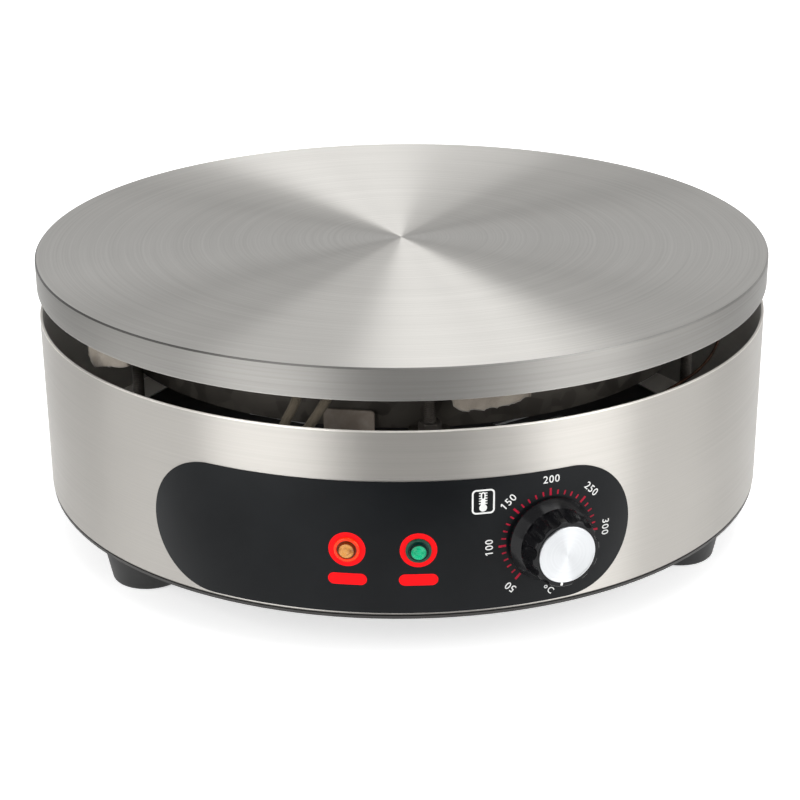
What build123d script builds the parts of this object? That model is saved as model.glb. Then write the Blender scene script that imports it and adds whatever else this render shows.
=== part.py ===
from build123d import *
import math
import os

# An electric crepe maker: a thick round griddle on three tall studs, over a round sheet-metal housing.
# Millimetres. Z is up and the feet stand on Z = 0. The control panel faces -Y.
# An azimuth is in degrees from the front (-Y), positive to the right as seen from the front.

# --- griddle plate
plate_radius = 200.0
plate_thickness = 16.8
plate_edge_chamfer = 0.8
plate_lower_round = 1.5

# --- housing: shell, base plate and feet
air_gap = 15.0
shell_inset = 0.5
shell_height = 97.2
shell_sheet = 0.8
shell_edge_round = 0.35
hem_depth = 8.0
flange_width = 22.0
base_plate_thickness = 1.5
base_plate_inset = 0.3
vent_rows = 3
vent_row_width = 130.0
vent_pitch = 14.0
vent_slot_width = 5.0
vent_slot_length = 44.0
vent_circle_radius = 88.0
foot_height = 28.5
foot_bottom_radius = 19.3
foot_flare = 5.7
foot_lower_round = 2.5
foot_upper_round = 1.0
foot_recess_depth = 15.0
foot_recess_margin = 0.6

# --- threaded rods, nuts and screws
first_foot_azimuth = -53.3
foot_count = 3
stud_inset = 33.5
stud_radius = 3.0
stud_socket_depth = 10.0
stud_end = 2.0
nut_flats = 10.0
nut_height = 5.0
washer_radius = 8.4
washer_thickness = 1.6
screw_radius = 2.0
screw_head_radius = 3.5
screw_head_height = 2.4
screw_nut_flats = 7.0
screw_nut_height = 3.2
screw_end = 1.0
screw_head_round_share = 0.45
screw_recess_span_share = 1.1
screw_recess_width_share = 0.25
socket_end_gap = 1.0
housing_screw_count = 6
thread_clearance = 0.05
hole_clearance = 0.3
rest_clearance = 0.3
wall_cutter_length = 20.0

# --- heating elements under the plate
element_tube_radius = 4.0
element_groove_clearance = 0.3
outer_ring_inset = 65.0
ring_spacing = 60.0
element_terminal_azimuth = -14.0
element_terminal_spacing = 30.0
element_bend_radius = 8.0
element_leg_length = 3.0
element_pin_radius = 2.0
element_pin_length = 6.0
clamp_bar_count = 3
clamp_bar_width = 20.0
clamp_bar_thickness = 4.0
clamp_bar_overhang = 14.0
clamp_bar_corner = 4.0

# --- insulation under the elements
tray_drop = 30.2
tray_sheet = 1.0
tray_wall_height = 21.0
tray_nut_gap = 1.2
tray_ear_width = 20.0
tray_ear_margin = 8.0
tray_ear_corner = 6.0
blanket_thickness = 10.0
blanket_margin = 0.5
tongue_height = 6.0
tongue_column = 7.0
tongue_setback = 1.0
tongue_root = 1.0
tongue_droop = 4.0
tongue_droop_width = 10.0
front_tongue_azimuth = 16.0
front_tongue_span = 13.0
front_tongue_reach = 20.0
side_tongue_azimuth = -53.0
side_tongue_span = 14.0
side_tongue_reach = 26.0

# --- temperature sensor
sensor_azimuth = 106.0
sensor_bulb_radius = 3.0
sensor_bulb_length = 80.0
sensor_bulb_end_round = 1.8
sensor_clip_sheet = 1.2
sensor_clip_width = 10.0
sensor_clip_spacing = 20.0
capillary_radius = 0.8

# --- control panel, measured along the curved face from its middle
overlay_thickness = 0.4
overlay_glue = 0.05
overlay_length = 249.5
overlay_height = 69.6
overlay_lower_margin = 2.0
control_lift = 35.8
power_lamp_offset = -19.7
heat_lamp_offset = 14.6
dial_offset = 79.7

# --- signal lamps
lamp_hole_radius = 5.0
lamp_body_clearance = 0.2
lamp_body_length = 18.0
lamp_flange_margin = 1.3
lamp_flange_thickness = 1.2
lamp_flange_round = 0.5
lamp_moat_width = 0.5
lamp_moat_depth = 0.4
lamp_boss_height = 3.5
lamp_boss_radius = 4.3
lamp_boss_taper = 0.5
lamp_wall = 1.0
lamp_stem_length = 3.0
lamp_clip_margin = 3.0
lamp_clip_thickness = 0.5
lamp_clip_slots = 8
lamp_clip_slot_width = 1.2
lamp_tab_width = 2.8
lamp_tab_thickness = 0.5
lamp_tab_length = 6.0
lamp_tab_spacing = 5.0

# --- thermostat behind the dial
thermostat_width = 44.0
thermostat_height = 38.0
thermostat_depth = 28.0
thermostat_plate_thickness = 1.5
thermostat_plate_height = 34.0
thermostat_plate_corner = 2.0
thermostat_body_setback = 1.0
thermostat_body_corner = 3.0
thermostat_pocket_margin = 2.0
thermostat_screw_spacing = 28.0
thermostat_nut_height = 3.2
thermostat_capsule_radius = 13.0
thermostat_capsule_depth = 6.0
thermostat_capsule_chamfer = 2.4
thermostat_tab_width = 6.3
thermostat_tab_thickness = 0.8
thermostat_tab_length = 9.0
thermostat_tab_spacing = 34.0
thermostat_tab_drop = 8.0
spindle_radius = 3.0
spindle_clearance = 0.05
spindle_reach = 15.0
spindle_depth = 12.0
spindle_end_gap = 1.0
spindle_flat = 1.4

# --- knob
knob_gap = 0.9
knob_screw_clearance = 0.8
knob_skirt_wall = 3.5
knob_rim_thickness = 1.5
knob_cone_height = 5.7
knob_cone_inset = 3.0
knob_grip_height = 11.0
knob_grip_taper = 1.6
knob_front_round = 0.8
knob_cavity_depth = 5.0
knob_boss_radius = 7.0
knob_boss_setback = 0.8
knob_scallop_places = 12
knob_scallop_depth = 1.5
knob_scallop_radius = 4.3
knob_cap_inset = 2.7
knob_cap_thickness = 2.0
knob_cap_recess = 0.8
knob_cap_edge = 0.4
pointer_width = 1.1
pointer_depth = 0.5
pointer_proud = 0.05
pointer_groove_margin = 1.0
pointer_rest_angle = -171.0
leaf_thickness = 0.4
leaf_width = 4.0
leaf_length = 9.0
leaf_end_gap = 0.5

# --- cable gland at the back
gland_lift = 22.0
gland_thread_radius = 10.0
gland_hex_margin = 2.0
gland_hex_thickness = 4.0
gland_bore_radius = 5.0
gland_inside_length = 12.0
gland_neck_radius = 9.0
gland_neck_length = 5.0
gland_neck_wall = 3.0
gland_seal_sink = 1.0
cable_radius = 4.0
gland_cable_clearance = 0.1
gland_locknut_thickness = 3.5
gland_locknut_margin = 1.0
gland_cap_wall = 2.0
gland_cap_thickness = 1.6
gland_cap_round = 1.2
gland_grip_count = 12
gland_grip_radius = 0.8
gland_grip_offset = 0.35

# --- wiring bracket, terminal block and earth stud
bracket_azimuth = -7.1
bracket_inset = 37.0
bracket_width = 25.0
bracket_sheet = 1.2
bracket_corner = 2.0
bracket_top_drop = 12.0
bracket_foot_length = 16.0
bracket_screw_spacing = 13.0
block_width = 22.0
block_depth = 16.0
block_height = 32.0
block_corner = 1.5
block_lift = 18.0
block_pole_count = 3
block_pole_pitch = 10.0
insert_radius = 2.8
insert_bore = 1.7
insert_end_gap = 1.0
block_screw_radius = 1.5
block_screw_spacing = 12.0
block_screw_recess = 2.0
earth_azimuth = 158.0
earth_inset = 45.0
earth_stud_height = 16.0
earth_washer_radius = 4.5
earth_washer_thickness = 0.8

# --- leads
lead_end_gap = 0.9
lead_radius = 1.6
sleeve_radius = 2.4
lamp_lead_radius = 0.9

# Levels, from the feet up
base_bottom = foot_height
base_top = base_bottom + base_plate_thickness
shell_top = base_top + shell_height
plate_bottom = shell_top + air_gap
plate_top = plate_bottom + plate_thickness
tray_bottom = plate_bottom - tray_drop
tray_floor = tray_bottom + tray_sheet
tray_rim = tray_floor + tray_wall_height
blanket_top = tray_floor + blanket_thickness
bar_top = plate_bottom - element_tube_radius
bar_bottom = bar_top - clamp_bar_thickness
hanger_nut_bottom = plate_bottom - nut_height
foot_nut_bottom = foot_recess_depth - washer_thickness - nut_height
control_height = base_top + control_lift
gland_height = base_top + gland_lift

# Radii about the middle of the plate
shell_radius = plate_radius - shell_inset
shell_inner_radius = shell_radius - shell_sheet
overlay_front = overlay_glue + overlay_thickness
overlay_radius = shell_radius + overlay_front
flange_inner_radius = shell_radius - flange_width
stud_circle_radius = shell_radius - stud_inset
nut_corner_radius = nut_flats / math.sqrt(3)
tray_radius = stud_circle_radius - nut_corner_radius - tray_nut_gap
blanket_radius = tray_radius - tray_sheet - blanket_margin
outer_ring_radius = plate_radius - outer_ring_inset
inner_ring_radius = outer_ring_radius - ring_spacing
clamp_stud_radius = outer_ring_radius - ring_spacing / 2
housing_screw_circle = (flange_inner_radius + shell_inner_radius) / 2
foot_step = 360 / foot_count
foot_names = ("front_left", "front_right", "rear")
foot_azimuths = [first_foot_azimuth + foot_step * i for i in range(foot_count)]
tray_azimuths = [azimuth + foot_step / 2 for azimuth in foot_azimuths]
clamp_azimuths = [
    element_terminal_azimuth + 180 / clamp_bar_count + 360 / clamp_bar_count * i
    for i in range(clamp_bar_count)
]
housing_screw_azimuths = [
    first_foot_azimuth + 180 / housing_screw_count + 360 / housing_screw_count * i
    for i in range(housing_screw_count)
]

UPWARD = (Align.CENTER, Align.CENTER, Align.MIN)


def point_at(azimuth, radius, height):
    """The point at this azimuth, this far from the middle and this high."""
    turn = math.radians(azimuth)
    return Vector(radius * math.sin(turn), -radius * math.cos(turn), height)


def stand(azimuth, radius, height):
    """An upright place at that point: X runs to the right and Y towards the middle."""
    return Location(point_at(azimuth, radius, height), (0, 0, azimuth))


def face_out(azimuth, radius, height):
    """A place at that point whose Z points out of the housing, with X to the right and Y up."""
    turn = math.radians(azimuth)
    outward = Vector(math.sin(turn), -math.cos(turn), 0)
    right = Vector(math.cos(turn), math.sin(turn), 0)
    return Plane(origin=point_at(azimuth, radius, height), x_dir=right, z_dir=outward).location


def along_face(offset):
    """The azimuth of a place measured along the curved panel from its middle."""
    return math.degrees(offset / shell_radius)


def behind_wall(half_width):
    """How far behind the wall's outer face a flat piece lies when its two edges touch the wall inside."""
    return shell_radius - math.sqrt(shell_inner_radius**2 - half_width**2)


def rod(radius, height, bottom=0.0):
    """An upright cylinder that starts at this height."""
    return Pos(0, 0, bottom) * Cylinder(radius, height, align=UPWARD)


def ring(outer, inner, height, bottom=0.0):
    """An upright tube that starts at this height."""
    return rod(outer, height, bottom) - rod(inner, height, bottom)


def block(width, depth, height, bottom=0.0):
    """An upright box that starts at this height."""
    return Pos(0, 0, bottom) * Box(width, depth, height, align=UPWARD)


def hex_nut(flats, height, bore, bottom=0.0):
    """A hexagon nut with a plain bore, its outer corners turned down a little."""
    corner = flats / math.sqrt(3)
    body = Pos(0, 0, bottom) * extrude(RegularPolygon(flats / 2, 6, major_radius=False), height)
    blank = rod(corner, height, bottom)
    turned = chamfer(blank.edges().filter_by(GeomType.CIRCLE), min(corner - flats / 2, height / 4))
    return (body & turned) - rod(bore, height, bottom)


def pan_screw(radius, head_radius, head_height, length):
    """A screw whose head stands on Z = 0 and whose shank runs down from it."""
    head = rod(head_radius, head_height)
    rim = head.edges().filter_by(GeomType.CIRCLE).sort_by(Axis.Z)[-1]
    head = fillet(rim, head_height * screw_head_round_share)
    span = head_radius * screw_recess_span_share
    width = head_radius * screw_recess_width_share
    slot = Pos(0, 0, head_height) * Box(span, width, head_height)
    cross = Pos(0, 0, head_height) * Box(width, span, head_height)
    return head - slot - cross + rod(radius, length, -length)


def group(pieces):
    """Like pieces that share a node and stay separate solids."""
    return Compound(children=[piece for piece in pieces])


def soft_tube(points, radius):
    """A tube along straight runs, joined by the largest arcs that the runs leave room for."""
    corners = [Vector(point) for point in points]
    bends = []
    for before, corner, after in zip(corners, corners[1:], corners[2:]):
        run_in = corner - before
        run_out = after - corner
        half_turn = math.radians(run_in.get_angle(run_out)) / 2
        bends.append(0.45 * min(run_in.length, run_out.length) / math.tan(half_turn))
    route = FilletPolyline(*corners, radius=bends)
    section = Plane(origin=corners[0], z_dir=corners[1] - corners[0]) * Circle(radius)
    return sweep(section, path=route)


# --- griddle plate and what hangs from it


def make_griddle_plate():
    plate = rod(plate_radius, plate_thickness, plate_bottom)
    edges = plate.edges().filter_by(GeomType.CIRCLE).sort_by(Axis.Z)
    plate = chamfer(edges[-1], plate_edge_chamfer)
    edges = plate.edges().filter_by(GeomType.CIRCLE).sort_by(Axis.Z)
    plate = fillet(edges[0], plate_lower_round)
    groove = element_tube_radius + element_groove_clearance
    for radius in (outer_ring_radius, inner_ring_radius):
        plate -= Pos(0, 0, plate_bottom) * Torus(radius, groove)
    for azimuth in foot_azimuths + tray_azimuths:
        socket = rod(stud_radius + thread_clearance, stud_socket_depth)
        plate -= stand(azimuth, stud_circle_radius, plate_bottom) * socket
    for azimuth in clamp_azimuths:
        socket = rod(stud_radius + thread_clearance, stud_socket_depth)
        plate -= stand(azimuth, clamp_stud_radius, plate_bottom) * socket
    for side in (-1, 1):
        socket = rod(screw_radius + thread_clearance, stud_socket_depth)
        plate -= sensor_place * Pos(0, side * sensor_clip_spacing / 2, 0) * socket
    return plate


def make_studs(azimuths, radius, bottom):
    top = plate_bottom + stud_socket_depth - socket_end_gap
    stud = rod(stud_radius, top - bottom)
    return group([stand(azimuth, radius, bottom) * stud for azimuth in azimuths])


def make_nuts(azimuths, radius, bottoms):
    """The nuts on a ring of rods, one at each of these heights on every rod."""
    nut = hex_nut(nut_flats, nut_height, stud_radius + thread_clearance)
    return group([stand(azimuth, radius, bottom) * nut for azimuth in azimuths for bottom in bottoms])


def element_ends(ring_radius):
    """The two azimuths where a ring leaves its circle and starts to bend down."""
    half = element_terminal_spacing / 2 + element_bend_radius
    spread = math.degrees(math.asin(half / ring_radius))
    return element_terminal_azimuth + spread, element_terminal_azimuth - spread


def element_leg(ring_radius, side, height):
    """The middle of a leg, side 1 for the leg on the right and -1 for the one on the left."""
    azimuth = element_ends(ring_radius)[0 if side == 1 else 1]
    turn = math.radians(azimuth)
    tangent = Vector(math.cos(turn), math.sin(turn), 0) * -side
    return point_at(azimuth, ring_radius, height) + tangent * element_bend_radius


def make_heating_element(ring_radius):
    """A bent sheathed tube: one turn in its groove, then both ends turned down."""
    leg_top = plate_bottom - element_bend_radius
    leg_bottom = leg_top - element_leg_length
    runs = []
    for side in (1, -1):
        azimuth = element_ends(ring_radius)[0 if side == 1 else 1]
        start = point_at(azimuth, ring_radius, plate_bottom)
        foot = element_leg(ring_radius, side, leg_bottom)
        knee = element_leg(ring_radius, side, leg_top)
        centre = Vector(start.X, start.Y, leg_top)
        outward = (knee - centre).normalized() + Vector(0, 0, 1)
        middle = centre + outward.normalized() * element_bend_radius
        runs.append((foot, knee, middle, start))
    right, left = runs
    far_side = point_at(element_terminal_azimuth + 180, ring_radius, plate_bottom)
    path = Wire(
        [
            Edge.make_line(right[0], right[1]),
            Edge.make_three_point_arc(right[1], right[2], right[3]),
            Edge.make_three_point_arc(right[3], far_side, left[3]),
            Edge.make_three_point_arc(left[3], left[2], left[1]),
            Edge.make_line(left[1], left[0]),
        ]
    )
    section = Plane(origin=right[0], z_dir=(0, 0, 1)) * Circle(element_tube_radius)
    return sweep(section, path=path)


def make_element_pins():
    bottom = plate_bottom - element_bend_radius - element_leg_length - element_pin_length
    pins = []
    for radius in (outer_ring_radius, inner_ring_radius):
        for side in (1, -1):
            pins.append(Pos(*element_leg(radius, side, bottom)) * rod(element_pin_radius, element_pin_length))
    return group(pins)


def make_clamp_bars():
    length = ring_spacing + 2 * clamp_bar_overhang
    bar = block(clamp_bar_width, length, clamp_bar_thickness, bar_bottom)
    bar = fillet(bar.edges().filter_by(Axis.Z), clamp_bar_corner)
    bar -= rod(stud_radius + hole_clearance, clamp_bar_thickness, bar_bottom)
    return group([stand(azimuth, clamp_stud_radius, 0) * bar for azimuth in clamp_azimuths])


def make_insulation_tray():
    tray = rod(tray_radius, tray_sheet, tray_bottom)
    tray += ring(tray_radius, tray_radius - tray_sheet, tray_wall_height, tray_floor)
    root = tray_radius / 2
    reach = stud_circle_radius + tray_ear_margin
    ear = Pos(0, -(root + reach) / 2, 0) * block(tray_ear_width, reach - root, tray_sheet, tray_bottom)
    ear = fillet(ear.edges().filter_by(Axis.Z).group_by(Axis.Y)[0], tray_ear_corner)
    for azimuth in tray_azimuths:
        tray += Rot(0, 0, azimuth) * ear
    for azimuth in tray_azimuths:
        hole = rod(stud_radius + hole_clearance, tray_sheet, tray_bottom)
        tray -= stand(azimuth, stud_circle_radius, 0) * hole
    return tray


def make_tongue(azimuth, span, reach):
    """A loose flap of the blanket that comes up over the tray's rim and hangs down outside it."""
    inner = blanket_radius - tongue_column
    edge = blanket_radius - tongue_setback
    outer = tray_radius + reach
    low = tray_rim + rest_clearance
    top = low + tongue_height
    lip = outer - tongue_droop_width
    outline = Polyline(
        (inner, 0, blanket_top - tongue_root),
        (inner, 0, top),
        (outer, 0, top),
        (outer, 0, low - tongue_droop),
        (lip, 0, low - tongue_droop),
        (lip, 0, low),
        (edge, 0, low),
        (edge, 0, blanket_top - tongue_root),
        close=True,
    )
    flap = revolve(make_face(outline), Axis.Z, span)
    return Rot(0, 0, azimuth - span / 2 - 90) * flap


def make_insulation_blanket():
    blanket = rod(blanket_radius, blanket_thickness, tray_floor)
    blanket += make_tongue(front_tongue_azimuth, front_tongue_span, front_tongue_reach)
    blanket += make_tongue(side_tongue_azimuth, side_tongue_span, side_tongue_reach)
    for azimuth in foot_azimuths + tray_azimuths:
        blanket -= stand(azimuth, stud_circle_radius, 0) * rod(nut_corner_radius + tray_nut_gap, plate_top)
    return blanket


# The bulb lies across its radius, between the two rings, against the plate
sensor_place = stand(sensor_azimuth, clamp_stud_radius, plate_bottom)


def make_sensor_bulb():
    body = Cylinder(sensor_bulb_radius, sensor_bulb_length)
    body = fillet(body.edges().filter_by(GeomType.CIRCLE), sensor_bulb_end_round)
    return sensor_place * Pos(0, 0, -sensor_bulb_radius) * Rot(0, 90, 0) * body


def make_sensor_clip():
    """A strap bent round the bulb, its two ears flat against the plate."""
    inner = sensor_bulb_radius + thread_clearance
    outer = inner + sensor_clip_sheet
    ear_length = sensor_clip_spacing + 4 * screw_radius + 2 * sensor_clip_sheet
    profile = Pos(0, -sensor_bulb_radius) * Circle(outer)
    profile += Pos(0, -sensor_bulb_radius / 2) * Rectangle(2 * outer, sensor_bulb_radius)
    profile = profile & Pos(0, -2 * outer) * Rectangle(4 * outer, 4 * outer)
    profile += Pos(0, -sensor_clip_sheet / 2) * Rectangle(ear_length, sensor_clip_sheet)
    profile -= Pos(0, -sensor_bulb_radius) * Circle(inner)
    profile -= Pos(0, -sensor_bulb_radius / 2) * Rectangle(2 * inner, sensor_bulb_radius)
    clip = extrude(Plane.YZ * profile, sensor_clip_width / 2, both=True)
    for side in (-1, 1):
        hole = rod(screw_radius + hole_clearance, sensor_clip_sheet, -sensor_clip_sheet)
        clip -= Pos(0, side * sensor_clip_spacing / 2, 0) * hole
    return sensor_place * clip


def make_sensor_screws():
    length = stud_socket_depth - socket_end_gap + sensor_clip_sheet
    screw = Rot(180, 0, 0) * pan_screw(screw_radius, screw_head_radius, screw_head_height, length)
    seat = Pos(0, 0, -sensor_clip_sheet) * screw
    return group([sensor_place * Pos(0, side * sensor_clip_spacing / 2, 0) * seat for side in (-1, 1)])


# --- housing


def make_housing_shell():
    wall = ring(shell_radius, shell_inner_radius, shell_height, base_top)
    hem = ring(shell_inner_radius, shell_inner_radius - shell_sheet, hem_depth, shell_top - hem_depth)
    flange = ring(shell_inner_radius, flange_inner_radius, shell_sheet, base_top)
    shell = wall + hem + flange
    rim = shell.edges().filter_by(GeomType.CIRCLE).group_by(Axis.Z)[-1]
    shell = fillet(rim, shell_edge_round)
    for offset in (power_lamp_offset, heat_lamp_offset):
        shell -= lamp_place(offset) * Cylinder(lamp_hole_radius, wall_cutter_length)
    shell -= dial_place * Cylinder(spindle_radius + 2 * knob_gap, wall_cutter_length)
    for side in (-1, 1):
        hole = Cylinder(screw_radius + hole_clearance, wall_cutter_length)
        shell -= dial_place * Pos(side * thermostat_screw_spacing / 2, 0, 0) * hole
    shell -= gland_face * Cylinder(gland_thread_radius + hole_clearance, wall_cutter_length)
    for azimuth in housing_screw_azimuths:
        hole = rod(screw_radius + hole_clearance, shell_sheet, base_top)
        shell -= stand(azimuth, housing_screw_circle, 0) * hole
    return shell


gland_face = face_out(180, shell_radius, gland_height)


def make_base_plate():
    plate = rod(shell_radius - base_plate_inset, base_plate_thickness, base_bottom)
    slot = extrude(SlotOverall(vent_slot_length, vent_slot_width, rotation=90), base_plate_thickness)
    slots_each_side = int(vent_row_width / 2 / vent_pitch)
    for row in range(vent_rows):
        azimuth = first_foot_azimuth + 180 / vent_rows + 360 / vent_rows * row
        for place in range(-slots_each_side, slots_each_side + 1):
            shift = Pos(place * vent_pitch, 0, 0)
            plate -= stand(azimuth, vent_circle_radius, base_bottom) * shift * slot
    for azimuth in foot_azimuths:
        hole = rod(stud_radius + hole_clearance, base_plate_thickness, base_bottom)
        plate -= stand(azimuth, stud_circle_radius, 0) * hole
    screw_hole = rod(screw_radius + hole_clearance, base_plate_thickness, base_bottom)
    for azimuth in housing_screw_azimuths:
        plate -= stand(azimuth, housing_screw_circle, 0) * screw_hole
    for place in bracket_screw_places():
        plate -= place * screw_hole
    plate -= stand(earth_azimuth, shell_radius - earth_inset, 0) * screw_hole
    return plate


def make_foot(azimuth):
    foot = Cone(foot_bottom_radius, foot_bottom_radius + foot_flare, foot_height, align=UPWARD)
    edges = foot.edges().filter_by(GeomType.CIRCLE).sort_by(Axis.Z)
    foot = fillet(edges[0], foot_lower_round)
    edges = foot.edges().filter_by(GeomType.CIRCLE).sort_by(Axis.Z)
    foot = fillet(edges[-1], foot_upper_round)
    foot -= rod(washer_radius + foot_recess_margin, foot_recess_depth)
    foot -= rod(stud_radius + hole_clearance, foot_height)
    return stand(azimuth, stud_circle_radius, 0) * foot


def make_foot_washers():
    bottom = foot_recess_depth - washer_thickness
    washer = ring(washer_radius, stud_radius + hole_clearance, washer_thickness, bottom)
    return group([stand(azimuth, stud_circle_radius, 0) * washer for azimuth in foot_azimuths])


def make_housing_screws():
    length = base_plate_thickness + shell_sheet + screw_nut_height + screw_end
    screw = Rot(180, 0, 0) * pan_screw(screw_radius, screw_head_radius, screw_head_height, length)
    places = [stand(azimuth, housing_screw_circle, base_bottom) for azimuth in housing_screw_azimuths]
    return group([place * screw for place in places])


def make_housing_nuts():
    nut = hex_nut(screw_nut_flats, screw_nut_height, screw_radius + thread_clearance, base_top + shell_sheet)
    return group([stand(azimuth, housing_screw_circle, 0) * nut for azimuth in housing_screw_azimuths])


# --- control panel


def make_panel_overlay():
    """A thin printed sheet bent round the housing, with half-round ends."""
    end_radius = overlay_height / 2
    low = base_top + overlay_lower_margin
    half_straight = along_face(overlay_length / 2 - end_radius)
    middle = Pos(overlay_radius - overlay_thickness / 2, low + end_radius)
    section = Plane.XZ * middle * Rectangle(overlay_thickness, overlay_height)
    overlay = Rot(0, 0, -90 - half_straight) * revolve(section, Axis.Z, 2 * half_straight)
    skin = ring(overlay_radius, overlay_radius - overlay_thickness, overlay_height, low)
    for side in (-1, 1):
        end = face_out(side * half_straight, shell_radius, low + end_radius)
        overlay += skin & end * Cylinder(end_radius, 2 * end_radius)
    for offset in (power_lamp_offset, heat_lamp_offset):
        overlay -= lamp_place(offset) * Cylinder(lamp_hole_radius, wall_cutter_length)
    overlay -= dial_place * Cylinder(knob_cavity_radius + knob_gap, wall_cutter_length)
    return overlay


def lamp_place(offset):
    """The place of a lamp: Z = 0 is the panel's printed face."""
    return face_out(along_face(offset), overlay_radius, control_height)


lamp_body_radius = lamp_hole_radius - lamp_body_clearance
lamp_back = -lamp_body_length


def make_lamp_lens(offset):
    flange = rod(lamp_hole_radius + lamp_flange_margin, lamp_flange_thickness)
    flange = fillet(flange.edges().filter_by(GeomType.CIRCLE).sort_by(Axis.Z)[-1], lamp_flange_round)
    boss = Cone(lamp_boss_radius, lamp_boss_radius - lamp_boss_taper, lamp_boss_height, align=UPWARD)
    boss = fillet(boss.edges().filter_by(GeomType.CIRCLE).sort_by(Axis.Z)[-1], lamp_boss_taper)
    moat_radius = lamp_boss_radius + lamp_moat_width
    moat = rod(moat_radius, lamp_moat_depth, lamp_flange_thickness - lamp_moat_depth)
    stem = rod(lamp_body_radius - lamp_wall - thread_clearance, lamp_stem_length, -lamp_stem_length)
    return lamp_place(offset) * (flange - moat + boss + stem)


def make_lamp_body(offset):
    body = rod(lamp_body_radius, lamp_body_length, lamp_back)
    body -= rod(lamp_body_radius - lamp_wall, lamp_body_length - lamp_wall, lamp_back + lamp_wall)
    return lamp_place(offset) * body


def make_lamp_clips():
    """Spring washers pushed over the lamps' bodies until their rims bear on the wall inside."""
    reach = lamp_hole_radius + lamp_clip_margin
    front = -overlay_front - behind_wall(reach)
    back = front - lamp_clip_thickness
    clip = ring(reach, lamp_body_radius + thread_clearance, lamp_clip_thickness, back)
    for place in PolarLocations(reach, lamp_clip_slots):
        clip -= place * block(lamp_clip_margin, lamp_clip_slot_width, lamp_clip_thickness, back)
    return group([lamp_place(offset) * clip for offset in (power_lamp_offset, heat_lamp_offset)])


def make_lamp_tabs():
    tab = block(lamp_tab_thickness, lamp_tab_width, lamp_tab_length, lamp_back - lamp_tab_length)
    tabs = []
    for offset in (power_lamp_offset, heat_lamp_offset):
        for side in (-1, 1):
            tabs.append(lamp_place(offset) * Pos(side * lamp_tab_spacing / 2, 0, 0) * tab)
    return group(tabs)


# --- thermostat: its places are measured from the wall's outer face, along the dial's axis

dial_place = face_out(along_face(dial_offset), shell_radius, control_height)
thermostat_face = -behind_wall(thermostat_width / 2)
thermostat_back = thermostat_face - thermostat_plate_thickness - thermostat_depth
knob_cavity_radius = thermostat_screw_spacing / 2 + screw_head_radius + knob_screw_clearance
knob_skirt_radius = knob_cavity_radius + knob_skirt_wall
knob_back = overlay_front + knob_gap
knob_cone_bottom = knob_back + knob_rim_thickness
knob_grip_bottom = knob_cone_bottom + knob_cone_height
knob_front = knob_grip_bottom + knob_grip_height
knob_root_radius = knob_skirt_radius - knob_cone_inset
knob_front_radius = knob_root_radius - knob_grip_taper
knob_cap_radius = knob_front_radius - knob_cap_inset
knob_cap_seat = knob_front - knob_cap_recess
spindle_flat_bottom = knob_back + knob_boss_setback
spindle_bore_radius = spindle_radius + spindle_clearance


def make_thermostat_plate():
    back = thermostat_face - thermostat_plate_thickness
    plate = block(thermostat_width, thermostat_plate_height, thermostat_plate_thickness, back)
    plate = fillet(plate.edges().filter_by(Axis.Z), thermostat_plate_corner)
    plate -= rod(spindle_radius + 2 * knob_gap, thermostat_plate_thickness, back)
    hole = rod(screw_radius + thread_clearance, thermostat_plate_thickness, back)
    for side in (-1, 1):
        plate -= Pos(side * thermostat_screw_spacing / 2, 0, 0) * hole
    return dial_place * plate


def make_thermostat_body():
    front = thermostat_face - thermostat_plate_thickness
    width = thermostat_width - 2 * thermostat_body_setback
    body = block(width, thermostat_height, thermostat_depth, front - thermostat_depth)
    body = fillet(body.edges().filter_by(Axis.Z), thermostat_body_corner)
    body -= rod(spindle_bore_radius, spindle_depth, front - spindle_depth)
    pocket_depth = thermostat_nut_height + thermostat_pocket_margin
    pocket = rod(screw_head_radius, pocket_depth, front - pocket_depth)
    for side in (-1, 1):
        body -= Pos(side * thermostat_screw_spacing / 2, 0, 0) * pocket
    return dial_place * body


def make_thermostat_capsule():
    low = thermostat_back - thermostat_capsule_depth
    capsule = rod(thermostat_capsule_radius, thermostat_capsule_depth, low)
    back_edge = capsule.edges().filter_by(GeomType.CIRCLE).sort_by(Axis.Z)[0]
    capsule = chamfer(back_edge, thermostat_capsule_chamfer)
    return dial_place * capsule


def make_thermostat_tabs():
    low = thermostat_back - thermostat_tab_length
    tab = block(thermostat_tab_thickness, thermostat_tab_width, thermostat_tab_length, low)
    spots = [Pos(side * thermostat_tab_spacing / 2, -thermostat_tab_drop, 0) for side in (-1, 1)]
    return group([dial_place * spot * tab for spot in spots])


def make_thermostat_screws():
    spot = thermostat_screw_spacing / 2
    seat = math.sqrt(shell_radius**2 - (spot - screw_head_radius) ** 2) - shell_radius
    length = seat - thermostat_face + thermostat_plate_thickness + thermostat_nut_height
    screw = pan_screw(screw_radius, screw_head_radius, screw_head_height, length)
    return group([dial_place * Pos(side * spot, 0, seat) * screw for side in (-1, 1)])


def make_thermostat_spindle():
    bottom = thermostat_face - thermostat_plate_thickness - spindle_depth + spindle_end_gap
    spindle = rod(spindle_radius, spindle_reach - bottom, bottom)
    cut_depth = spindle_radius - spindle_flat
    cut = block(2 * spindle_radius, 2 * cut_depth, spindle_reach, spindle_flat_bottom)
    spindle -= Pos(0, spindle_radius, 0) * cut
    return dial_place * pointer_turn * spindle


# --- knob: built with its pointer up, then turned to where it rests

pointer_turn = Rot(0, 0, -pointer_rest_angle)


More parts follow.
